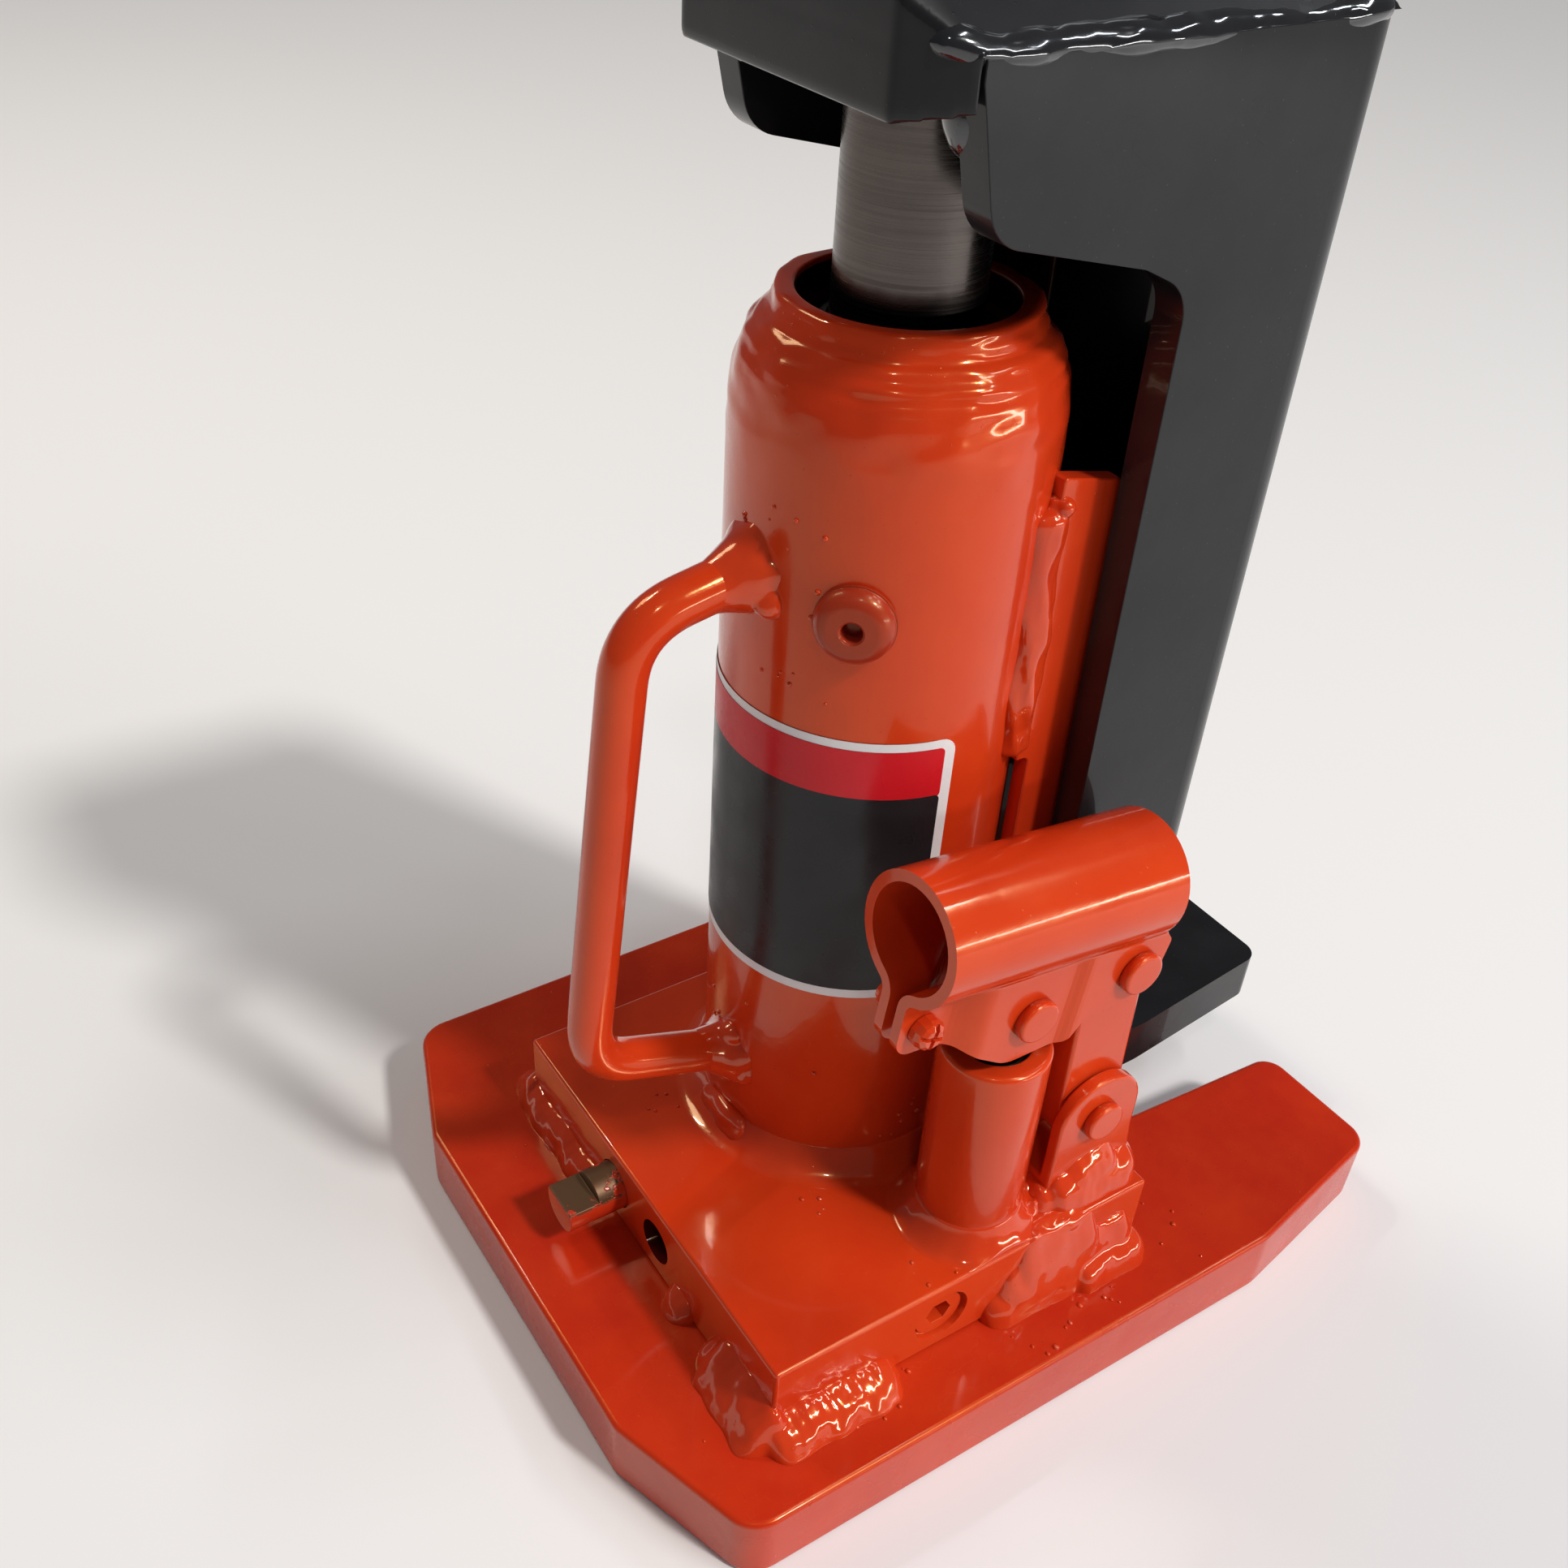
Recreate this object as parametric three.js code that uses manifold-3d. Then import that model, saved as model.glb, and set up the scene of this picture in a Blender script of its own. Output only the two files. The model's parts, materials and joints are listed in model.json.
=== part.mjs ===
// Toe jack: a hydraulic bottle-jack unit on a forked base, carrying a claw with a lifting head
// and a lifting toe. Millimetres, +Z up. The origin is on the ram's axis at the underside of the
// base plate, and +X points along the toe. The claw stands LIFT_AT_REST above its lowest place.
import * as THREE from 'three';
import { ConvexGeometry } from 'three/addons/geometries/ConvexGeometry.js';
import { mergeVertices } from 'three/addons/utils/BufferGeometryUtils.js';
import Module from 'manifold-3d';

const wasm = await Module();
wasm.setup();

// ---------- driving dimensions ----------
const GAP = 0.3;               // clearance between pieces that touch
const LIFT_AT_REST = 26.3;     // the claw's height above its lowest place
const ROUND = 32;              // sides of a large round part
const SMALL_ROUND = 14;        // sides of a pin, port or ball

const PLATE_TOP = 19;          // base plate thickness
const PLATE_HALF = 86;         // half its width
const PLATE_BACK = -89;
const LEG_TIP = 124;
const SLOT_ROOT = 50.5;        // where the fork between the two legs starts

const BLOCK = { back: -60.4, front: 45.6, near: -68.5, far: 47, bottom: PLATE_TOP + GAP, top: 41 };

const TANK_R = 31.75;          // oil reservoir, outside radius
const TANK_WALL = 3.5;
const TANK_FOOT = BLOCK.top + GAP;
const SHOULDER_Z = 225;        // where the reservoir starts to neck in
const SHOULDER_R = 12.5;       // radius of the necked shoulder
const MOUTH_R = 20.3;          // inside radius of the mouth
const MOUTH_TOP = 240.4;
const LIP_R = 24.4;            // outside radius of the mouth's lip

const BORE_R = 16;             // pressure cylinder bore
const CYLINDER_R = 19.8;
const SEAT_Z = 36.5;           // floor of the cylinder's seat in the base block
const CYLINDER_FOOT = SEAT_Z + 1.8;
const CYLINDER_TOP = 222;
const GLAND_TOP = 233;

const RAM_R = 14;
const PISTON_BASE = 43.7 + LIFT_AT_REST;
const RAM_SHOULDER = PISTON_BASE + 28.3;

const ARM = { half: 38, thick: 7, front: 29.5, back: 69, top: 287, bend: 9 };
const SIDE_FOOT = 46.4;        // lowest edge of the arm's side walls
const HEAD = { front: -30.5, half: 29.5, bottom: 277.5, top: 303, padBack: 30 };
const TOE = { heel: 52, tip: 129.5, half: 28.5, tipHalf: 24, bottom: 28, top: 41.4 };

const PUMP = { x: 2.8, y: -52.3, r: 12.4, bore: 6.2, top: 96 };
const PLUNGER_R = 6;
const PIN_R = 3.5;
const PIN_A = { x: PUMP.x, z: 110 };        // plunger to socket
const PIN_B = { x: 29.5, z: 112.2 };        // link to socket
const PIN_C = { x: 30.8, z: 65 };            // link to base lug

const SOCKET = { x: -25.6, z: 136.8, tilt: 7, outer: 13.9, bore: 11.4, length: 61.4 };
const SHEET = 2.5;             // the socket's sheet thickness
const PINCH = { front: 1.3, middle: 6.4, rear: 7.9 };  // half the gap between its cheeks
const LINK_HALF = 5.8;         // half the link's thickness
const LINK_NOSE = 6;           // radius of the link's upper end
const CLAMP = { x: 5.8, z: -21.2, head: 3.7, shank: 2.3 };  // pinch screw, in the socket's own frame
const EAR = { inner: 6.2, outer: 9.6, reach: 12 };

const VALVE = { y: 2.6, z: 30.2, r: 6.1, end: -75.5, seat: -25 };
const SAFETY = { y: -17.2, z: 29.6, r: 5.7 };
const GALLERY = { x: -14.9, z: 30.2, r: 4, seatY: -44, end: -20 };

const PLUG = { angle: 225, z: 189.5, r: 7.8, stem: 3.7 };
const LABEL = { half: 86, bottom: 96.5, top: 163.5, thick: 0.25 };
const GRIP = { rod: 5, bend: 12, top: 192.5, elbow: [-57.5, 187], knee: [-68.5, 78.5], foot: 64 };
const GUIDE = { inner: 25.2, outer: 29.2, back: 17.5, front: 32.5, foot: 95, top: 212 };

// ---------- materials ----------
function finish(colour, roughness, metalness) {
  return () => new THREE.MeshStandardMaterial({ color: colour, roughness, metalness });
}
const orangePaint = finish('#d8401c', 0.25, 0);
const blackPaint = finish('#17171a', 0.15, 0);
const groundSteel = finish('#a9a6a2', 0.25, 1);
const darkSteel = finish('#3b3c3f', 0.45, 1);
const brass = finish('#9a6a3c', 0.4, 1);
const rubber = finish('#1b1b1c', 0.8, 0);
const copper = finish('#b06a42', 0.45, 1);
const chippedPaint = finish('#b5502a', 0.45, 0.3);
const vinyl = finish('#232225', 0.35, 0);

// ---------- solids ----------
function toSolid(geometry) {
  const bare = new THREE.BufferGeometry();
  bare.setAttribute('position', geometry.getAttribute('position').clone());
  if (geometry.index) bare.setIndex(geometry.index.clone());
  const merged = mergeVertices(bare, 1e-4);
  const points = new Float32Array(merged.getAttribute('position').array);
  let triangles = new Uint32Array(merged.index.array);
  if (signedVolume(points, triangles) < 0) {
    triangles = triangles.map((_, i) => triangles[i - (i % 3) + (2 - (i % 3))]);
  }
  return new wasm.Manifold(new wasm.Mesh({ numProp: 3, vertProperties: points, triVerts: triangles }));
}

function signedVolume(points, triangles) {
  const corner = (i) => new THREE.Vector3().fromArray(points, 3 * triangles[i]);
  let volume = 0;
  for (let i = 0; i < triangles.length; i += 3) {
    volume += corner(i).dot(corner(i + 1).cross(corner(i + 2))) / 6;
  }
  return volume;
}

function toGeometry(solid) {
  const mesh = solid.getMesh();
  const geometry = new THREE.BufferGeometry();
  geometry.setAttribute('position', new THREE.BufferAttribute(new Float32Array(mesh.vertProperties), 3));
  geometry.setIndex(new THREE.BufferAttribute(new Uint32Array(mesh.triVerts), 1));
  const flat = geometry.toNonIndexed();
  flat.computeVertexNormals();
  return flat;
}

function box(x0, x1, y0, y1, z0, z1) {
  const geometry = new THREE.BoxGeometry(x1 - x0, y1 - y0, z1 - z0);
  return toSolid(geometry.translate((x0 + x1) / 2, (y0 + y1) / 2, (z0 + z1) / 2));
}

// A round bar from point a to point b.
function bar(a, b, radius, sides = SMALL_ROUND) {
  const from = new THREE.Vector3(...a);
  const along = new THREE.Vector3(...b).sub(from);
  const geometry = new THREE.CylinderGeometry(radius, radius, along.length(), sides);
  const up = new THREE.Vector3(0, 1, 0);
  const turn = new THREE.Quaternion().setFromUnitVectors(up, along.clone().normalize());
  geometry.applyQuaternion(turn);
  const middle = from.addScaledVector(along, 0.5);
  return toSolid(geometry.translate(middle.x, middle.y, middle.z));
}

// A turned part: profile is a closed loop of [radius, height] or starts and ends on the axis.
function turned(profile, sides = ROUND) {
  const points = profile.map(([r, z]) => new THREE.Vector2(r, z));
  const onAxis = profile[0][0] === 0 && profile[profile.length - 1][0] === 0;
  if (!onAxis) points.push(points[0].clone());
  return toSolid(new THREE.LatheGeometry(points, sides).rotateX(Math.PI / 2));
}

function ring(inner, outer, z0, z1, sides = ROUND) {
  return turned([[inner, z0], [outer, z0], [outer, z1], [inner, z1]], sides);
}

function torus(major, minor, z, sides = 20) {
  return toSolid(new THREE.TorusGeometry(major, minor, 6, sides).translate(0, 0, z));
}

function ball(x, y, z, radius) {
  return toSolid(new THREE.SphereGeometry(radius, 12, 7).rotateX(Math.PI / 2).translate(x, y, z));
}

// An outline with rounded corners, from [x, y, corner radius].
function outline(corners) {
  const shape = new THREE.Shape();
  corners.forEach(([x, y, radius], i) => {
    const here = new THREE.Vector2(x, y);
    const before = new THREE.Vector2(...corners.at(i - 1).slice(0, 2)).sub(here).normalize();
    const after = new THREE.Vector2(...corners[(i + 1) % corners.length].slice(0, 2)).sub(here).normalize();
    const half = Math.acos(THREE.MathUtils.clamp(before.dot(after), -1, 1)) / 2;
    const reach = radius / Math.tan(half);
    const start = here.clone().addScaledVector(before, reach);
    const end = here.clone().addScaledVector(after, reach);
    if (i === 0) shape.moveTo(start.x, start.y);
    else shape.lineTo(start.x, start.y);
    if (radius > 0) shape.quadraticCurveTo(x, y, end.x, end.y);
  });
  shape.closePath();
  return shape;
}

// A plate cut to an outline in plan, with a small bevel all round.
function plate(corners, z0, z1, bevel = 0, steps = 3) {
  const options = { depth: z1 - z0 - 2 * bevel, curveSegments: steps, bevelEnabled: bevel > 0 };
  Object.assign(options, { bevelSize: bevel, bevelThickness: bevel, bevelOffset: -bevel, bevelSegments: 1 });
  return toSolid(new THREE.ExtrudeGeometry(outline(corners), options).translate(0, 0, z0 + bevel));
}

// A plate cut to an outline of [x, z, corner radius], standing between y0 and y1.
function standingPlate(corners, y0, y1, steps = 4) {
  const options = { depth: y1 - y0, curveSegments: steps, bevelEnabled: false };
  const geometry = new THREE.ExtrudeGeometry(outline(corners), options);
  return toSolid(geometry.rotateX(Math.PI / 2).translate(0, y1, 0));
}

function join(...solids) {
  return solids.reduce((sum, solid) => sum.add(solid));
}

function cut(solid, ...tools) {
  return tools.reduce((rest, tool) => rest.subtract(tool), solid);
}

const root = new THREE.Group();
root.name = 'toe_jack';

function piece(name, solid, material, group = root) {
  const mesh = new THREE.Mesh(toGeometry(solid), material());
  mesh.name = name;
  group.add(mesh);
  return mesh;
}

// ---------- base ----------
function basePlate() {
  const near = [
    [PLATE_BACK, -49, 7], [-76.3, -PLATE_HALF, 9], [76, -PLATE_HALF, 14], [LEG_TIP, -76.5, 7],
    [LEG_TIP, -40.6, 6], [SLOT_ROOT, -36.4, 9],
  ];
  const far = near.map(([x, y, r]) => [x, -y, r]).reverse();
  piece('base_plate', plate([...near, ...far], 0, PLATE_TOP, 1.2), orangePaint);
}

function baseBlock() {
  const { back, front, near, far, bottom, top } = BLOCK;
  const body = plate([[back, near, 3], [front, near, 3], [front, far, 3], [back, far, 3]], bottom, top, 0.8);
  const port = (a, b, r) => bar(a, b, r, 8);
  const { x: gx, z: gz } = GALLERY;
  piece('base_block', cut(body,
    bar([0, 0, SEAT_Z], [0, 0, top + 1], CYLINDER_R + GAP, ROUND),
    bar([PUMP.x, PUMP.y, 31], [PUMP.x, PUMP.y, top + 1], 9.1, 20),
    port([PUMP.x, PUMP.y, 26], [PUMP.x, PUMP.y, 31.5], 3.8),
    port([PUMP.x, PUMP.y, 21.4], [PUMP.x, PUMP.y, 27], 1.7),
    port([PUMP.x, PUMP.y - 1, 22.6], [PUMP.x, -25.2, 22.6], 1.5),
    port([PUMP.x, -25.2, 21.4], [PUMP.x, -25.2, top + 1], 1.5),
    port([PUMP.x, PUMP.y, 29.5], [gx, PUMP.y, 29.5], 1.4),
    bar([gx, near - 1, gz], [gx, near + 1.8, gz], 7.4, 20),
    bar([gx, near, gz], [gx, near + 10.5, gz], 6.7, 20),
    port([gx, near, gz], [gx, GALLERY.end, gz], GALLERY.r),
    port([gx, GALLERY.end - 1, gz], [gx, VALVE.y + 1.5, gz], 2.2),
    port([gx + 2, 0, gz], [gx + 2, 0, SEAT_Z + 1], 2),
    bar([back - 1, VALVE.y, VALVE.z], [-30.2, VALVE.y, VALVE.z], VALVE.r + GAP, 20),
    port([-32, VALVE.y, VALVE.z], [VALVE.seat, VALVE.y, VALVE.z], 2.9),
    port([VALVE.seat - 1, VALVE.y, VALVE.z], [gx, VALVE.y, VALVE.z], 1.5),
    port([-26.4, VALVE.y, VALVE.z], [-24.6, VALVE.y, top + 1], 1.3),
    bar([back - 1, SAFETY.y, SAFETY.z], [-34, SAFETY.y, SAFETY.z], SAFETY.r, 16),
    port([-35, SAFETY.y, SAFETY.z], [-27, SAFETY.y, SAFETY.z], 3.2),
    port([-28, SAFETY.y, SAFETY.z], [gx, SAFETY.y, SAFETY.z], 1.4),
    port([-31, SAFETY.y, SAFETY.z], [-18.5, -18.5, top + 0.6], 1.1),
  ), orangePaint);
}

// ---------- reservoir and pressure cylinder ----------
function arc(cx, cz, radius, from, to, count) {
  return Array.from({ length: count + 1 }, (_, i) => {
    const a = THREE.MathUtils.degToRad(from + (to - from) * i / count);
    return [cx + radius * Math.cos(a), cz + radius * Math.sin(a)];
  });
}

function radial(angle, r, z) {
  const a = THREE.MathUtils.degToRad(angle);
  return [r * Math.cos(a), r * Math.sin(a), z];
}

function reservoir() {
  const middle = TANK_R - SHOULDER_R;
  const inner = SHOULDER_R - TANK_WALL;
  const shell = turned([
    [TANK_R, TANK_FOOT], ...arc(middle, SHOULDER_Z, SHOULDER_R, 0, 64, 5),
    [LIP_R, 237.2], [LIP_R, 238.8], ...arc(LIP_R - 1.6, MOUTH_TOP - 1.6, 1.6, 30, 90, 2),
    [MOUTH_R + 0.6, MOUTH_TOP], [MOUTH_R, MOUTH_TOP - 0.6], [MOUTH_R, 234.6],
    ...arc(middle, SHOULDER_Z, inner, 68, 0, 3), [TANK_R - TANK_WALL, TANK_FOOT],
  ]);
  const fillHole = bar(radial(PLUG.angle, 20, PLUG.z), radial(PLUG.angle, 40, PLUG.z), PLUG.stem + GAP);
  piece('reservoir_tank', cut(shell, fillHole), orangePaint);
}

function pressureCylinder() {
  piece('pressure_cylinder', ring(BORE_R, CYLINDER_R, CYLINDER_FOOT, CYLINDER_TOP), darkSteel);
  piece('cylinder_gasket', ring(BORE_R + 0.2, CYLINDER_R - 0.3, SEAT_Z + GAP, CYLINDER_FOOT - GAP), copper);
}

function gland() {
  const flange = CYLINDER_TOP + GAP;
  const bore = RAM_R + 0.3;
  const body = turned([
    [bore, 206], [BORE_R - GAP, 206], [BORE_R - GAP, flange], [MOUTH_R - GAP, flange],
    [MOUTH_R - GAP, 227.2], [18.1, 227.2], [18.1, 229.6], [MOUTH_R - GAP, 229.6],
    [MOUTH_R - GAP, GLAND_TOP - 1], [MOUTH_R - GAP - 1, GLAND_TOP], [17, GLAND_TOP],
    [17, 229.8], [bore, 229.8], [bore, 226.8], [16.4, 226.8], [16.4, 224], [bore, 224],
  ], 24);
  const holes = [45, 135, 225, 315].map((a) => bar(radial(a, 18.6, 231), radial(a, 18.6, 240), 0.9, 8));
  piece('gland_nut', cut(body, ...holes), darkSteel);
  piece('gland_seal', torus(19.15, 0.82, 228.4), rubber);
  piece('rod_seal', torus(15.35, 0.85, 225.4), rubber);
  piece('ram_wiper', turned([
    [RAM_R + 0.4, 230.1], [16.7, 230.1], [16.7, 233.4], [15.2, 234.6], [RAM_R + 0.35, 234.9],
  ], 24), rubber);
}

function fillerPlug() {
  const head = TANK_R + GAP;
  const dome = [
    [0, 27], [PLUG.stem, 27], [PLUG.stem, head], [PLUG.r - 0.4, head], [PLUG.r, head + 0.8],
    [PLUG.r - 0.3, head + 2], [PLUG.r - 1.6, head + 3.2], [4.6, head + 3.9], [2, head + 4.1],
    [1.9, head + 0.5], [0, head + 0.3],
  ];
  const mesh = piece('filler_plug', turned(dome, 20), rubber);
  mesh.rotation.set(0, Math.PI / 2, 0);
  const turn = new THREE.Group();
  turn.rotation.z = THREE.MathUtils.degToRad(PLUG.angle);
  turn.position.z = PLUG.z;
  turn.add(mesh);
  root.add(turn);
}

// A path through [x, y, z] points, with every corner rounded.
function roundedPath(points, reach) {
  const path = new THREE.CurvePath();
  const stops = points.map((point) => new THREE.Vector3(...point));
  let from = stops[0];
  stops.slice(1, -1).forEach((corner, i) => {
    const into = corner.clone().sub(stops[i]).setLength(reach);
    const away = stops[i + 2].clone().sub(corner).setLength(reach);
    path.add(new THREE.LineCurve3(from, corner.clone().sub(into)));
    path.add(new THREE.QuadraticBezierCurve3(corner.clone().sub(into), corner, corner.clone().add(away)));
    from = corner.clone().add(away);
  });
  path.add(new THREE.LineCurve3(from, stops.at(-1)));
  return path;
}

// A thin sticker wrapped round the reservoir's -X side.
function label() {
  const inner = TANK_R + GAP + 0.05;
  const from = Math.PI - THREE.MathUtils.degToRad(LABEL.half);
  const to = Math.PI + THREE.MathUtils.degToRad(LABEL.half);
  const shape = new THREE.Shape().absarc(0, 0, inner + LABEL.thick, from, to);
  shape.absarc(0, 0, inner, to, from, true);
  const options = { depth: LABEL.top - LABEL.bottom, curveSegments: 24, bevelEnabled: false };
  const sheet = new THREE.ExtrudeGeometry(shape, options);
  piece('label', toSolid(sheet.translate(0, 0, LABEL.bottom)), vinyl);
}

function carryHandle() {
  const [elbowX, elbowZ] = GRIP.elbow;
  const [kneeX, kneeZ] = GRIP.knee;
  const inside = -28;            // the rod's ends start inside the reservoir's wall, and are cut to it
  const path = roundedPath([
    [inside, 0, GRIP.top], [elbowX, 0, elbowZ], [kneeX, 0, kneeZ], [inside, 0, GRIP.foot],
  ], GRIP.bend);
  const section = new THREE.Shape().absarc(0, 0, GRIP.rod, 0, 2 * Math.PI);
  const rod = new THREE.ExtrudeGeometry(section, { steps: 40, curveSegments: 5, extrudePath: path });
  const tank = bar([0, 0, 0], [0, 0, 240], TANK_R + GAP, 64);
  piece('carry_handle', cut(toSolid(rod), tank), orangePaint);
}

function guideBars() {
  const tank = bar([0, 0, 0], [0, 0, 240], TANK_R + GAP, 64);
  for (const [name, side] of [['near', -1], ['far', 1]]) {
    const ys = [side * GUIDE.inner, side * GUIDE.outer].sort((a, b) => a - b);
    const bar = box(GUIDE.back, GUIDE.front, ...ys, GUIDE.foot, GUIDE.top);
    piece(`guide_bar_${name}`, cut(bar, tank), orangePaint);
  }
}

// ---------- ram and claw ----------
function ram() {
  const foot = PISTON_BASE;
  piece('ram', turned([
    [0, foot], [7.3, foot], [7.9, foot + 0.6], [7.9, RAM_SHOULDER], [RAM_R - 0.5, RAM_SHOULDER],
    [RAM_R, RAM_SHOULDER + 0.5], [RAM_R, 289], [RAM_R - 1, 290], [6.2, 290], [6.2, 276], [0, 276],
  ]), groundSteel);
  piece('piston', ring(8.2, BORE_R - GAP, foot + 14.2, RAM_SHOULDER - GAP), darkSteel);
  piece('piston_seal', turned([
    [8.2, foot + 7.6], [9.8, foot + 7.6], [10.6, foot + 10.2], [13.4, foot + 10.2], [14.2, foot + 7.6],
    [BORE_R - 0.2, foot + 7.6], [BORE_R - GAP, foot + 13.9], [8.2, foot + 13.9],
  ], 20), rubber);
  piece('piston_nut', cut(turned([[0, foot + 0.6], [12, foot + 0.6], [12.8, foot + 1.4], [12.8, foot + 6.5],
    [12, foot + 7.3], [0, foot + 7.3]], 6), bar([0, 0, foot - 1], [0, 0, foot + 9], 8.2)), darkSteel);
}

function clawArm() {
  const { half, thick, back, top, bend } = ARM;
  const inside = bend - thick + 1;
  const channel = cut(
    plate([
      [HEAD.front, -half, 0], [back, -half, bend], [back, half, bend], [HEAD.front, half, 0],
    ], TOE.top + GAP, top),
    plate([[HEAD.front - 1, thick - half, 0], [back - thick, thick - half, inside],
      [back - thick, half - thick, inside], [HEAD.front - 1, half - thick, 0]], 0, top + 1),
  );
  const side = standingPlate([
    [-20.6, top, 1], [-15.2, 260.6, 9], [18.5, 252.2, 5], [29.5, 247, 9], [ARM.front, 79, 10],
    [47, 70, 5], [47, SIDE_FOOT, 3], [back + 1, SIDE_FOOT, 0], [back + 1, top, 0],
  ], -half - 1, half + 1);
  const between = TOE.half - GAP;
  const backWall = box(50, back + 1, -between, between, TOE.top, SIDE_FOOT + 1);
  piece('claw_arm', channel.intersect(join(side, backWall)), blackPaint);
}

function clawHead() {
  const { front, half, bottom, top, padBack } = HEAD;
  const seat = ARM.top + GAP;
  const wing = ARM.half;
  const at = (x, y, z) => new THREE.Vector3(x, y, z);
  const both = (x, y, z) => [at(x, -y, z), at(x, y, z)];
  const cap = toSolid(new ConvexGeometry([
    ...both(front, half, seat), ...both(-21, wing, seat),
    ...both(66, wing, seat), ...both(68.5, wing - 6, seat),
    ...both(front, half, 294.5), ...both(-26, 30.5, 294.5), ...both(61, 30.5, 294.5),
  ]));
  const nose = toSolid(new ConvexGeometry([
    ...both(front, half, bottom), ...both(-21, wing, bottom + 2), ...both(-21, 10, bottom),
    ...both(front, half, seat + 0.5), ...both(-21, wing, seat + 0.5),
  ]));
  const core = plate([
    [front, -half, 1.5], [padBack, -half, 3], [padBack, half, 3], [front, half, 1.5],
  ], bottom, top, 1);
  const channel = ARM.half - ARM.thick - GAP;
  const lower = box(-21.2, padBack, -channel, channel, bottom, seat + 1);
  const pad = join(core, lower);
  piece('claw_head', cut(join(cap, nose, pad),
    bar([0, 0, bottom - 1], [0, 0, 290.3], RAM_R + GAP, ROUND),
    bar([0, 0, 289], [0, 0, top + 1], 6.5),
    bar([0, 0, top - 9], [0, 0, top + 1], 10),
  ), blackPaint);
  piece('head_bolt', cut(turned([
    [0, 278], [5.9, 278], [5.9, top - 8.7], [9.5, top - 8.7], [9.5, top - 1.8], [8.7, top - 1], [0, top - 1],
  ], 20), turned([[0, top - 6], [5.2, top - 6], [5.2, top + 1], [0, top + 1]], 6)), darkSteel);
}

function toe() {
  const { heel, tip, half, tipHalf, bottom, top } = TOE;
  const shelf = plate([[heel, -half, 3], [82, -half, 0], [tip, -tipHalf, 6], [tip, tipHalf, 6], [82, half, 0],
    [heel, half, 3]], bottom, top, 1.2);
  const wall = ARM.back - ARM.thick - GAP;
  const upright = plate([[heel, 1 - half, 2], [wall, 1 - half, 2], [wall, half - 1, 2], [heel, half - 1, 2]],
    top - 2, 118);
  const rebate = box(heel - 1, ARM.back + 0.5, -half - 1, half + 1, top - 0.6, top + 1);
  piece('toe', join(cut(shelf, rebate), upright), blackPaint);
}

// ---------- pump ----------
function pumpUnit() {
  const { x, y, r, bore, top } = PUMP;
  const place = (solid) => solid.translate([x, y, 0]);
  piece('pump_cylinder', place(turned([
    [bore, 31.3], [8.8, 31.3], [8.8, TANK_FOOT], [r, TANK_FOOT], [r, top - 1.2], [r - 1.2, top],
    [9.8, top], [9, top - 0.8], [9, 88], [bore, 88],
  ], 28)), orangePaint);
  piece('pump_seal', place(ring(bore + 0.1, 8.8, 88.3, 91.2, 20)), rubber);
  const lip = [[bore + 0.15, 91.5], [8.8, 91.5], [8.8, 94], [7.4, 95.2], [bore + 0.15, 95.4]];
  piece('pump_wiper', place(turned(lip, 20)), rubber);
  const eye = standingPlate([
    [x - 9, 100.5, 3], [x + 9, 100.5, 3], [x + 9, 119, 8.6], [x - 9, 119, 8.6],
  ], y - PLUNGER_R, y + PLUNGER_R);
  const slot = standingPlate([
    [x - 6, PIN_A.z - 4.8, 4.7], [x + 6, PIN_A.z - 4.8, 4.7],
    [x + 6, PIN_A.z + 4.8, 4.7], [x - 6, PIN_A.z + 4.8, 4.7],
  ], y - 7, y + 7);
  const rod = place(turned([[0, 36], [5.2, 36], [PLUNGER_R, 36.8], [PLUNGER_R, 101.5], [0, 101.5]], 20));
  piece('plunger', cut(join(rod, eye), slot), groundSteel);
}

function linkLug() {
  const { x, z } = PIN_C;
  const base = BLOCK.top + GAP;
  const ears = standingPlate([[x - 12.8, base, 0], [x + 14.2, base, 0], [x + 13, base + 6, 4],
    [x + EAR.reach, z + EAR.reach, 10], [x - EAR.reach, z + EAR.reach, 10], [x - EAR.reach, base + 6, 3]],
  PUMP.y - EAR.outer, PUMP.y + EAR.outer);
  const gap = box(x - 20, x + 20, PUMP.y - EAR.inner, PUMP.y + EAR.inner, 49, 90);
  const hole = bar([x, -80, z], [x, -20, z], PIN_R + GAP);
  piece('link_lug', cut(ears, gap, hole), orangePaint);
}

function link() {
  const y0 = PUMP.y - LINK_HALF;
  const y1 = PUMP.y + LINK_HALF;
  const shoulder = PIN_B.z - 7;
  const strap = standingPlate([[PIN_C.x - 9.2, PIN_C.z - 9.2, 8.8], [PIN_C.x + 9.2, PIN_C.z - 9.2, 8.8],
    [PIN_B.x + 9, shoulder, 4], [PIN_B.x - 9, shoulder, 4]], y0, y1);
  const nose = bar([PIN_B.x, y0, PIN_B.z], [PIN_B.x, y1, PIN_B.z], LINK_NOSE, 20);
  const neck = standingPlate([[PIN_B.x - 8, shoulder - 3, 0], [PIN_B.x + 8, shoulder - 3, 0],
    [PIN_B.x + 5.6, PIN_B.z + 1.5, 0], [PIN_B.x - 5.6, PIN_B.z + 1.5, 0]], y0, y1);
  const holes = [PIN_B, PIN_C].map((pin) => bar([pin.x, -80, pin.z], [pin.x, -20, pin.z], PIN_R + GAP));
  piece('link', cut(join(strap, neck, nose), ...holes), orangePaint);
}

// The lower edge of the socket's cheeks, seen from the side, as [x, z, corner radius].
const CHEEK_EDGE = [
  [SOCKET.x, SOCKET.z, 0], [-29, 109.6, 4], [-15.5, 108.2, 4], [-2.8, 99.2, 9], [12.6, 99, 4], [16.8, 104.2, 3],
  [34.8, 104.2, 4], [38.2, 117, 2], [35.3, 129.3, 0],
];

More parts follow.
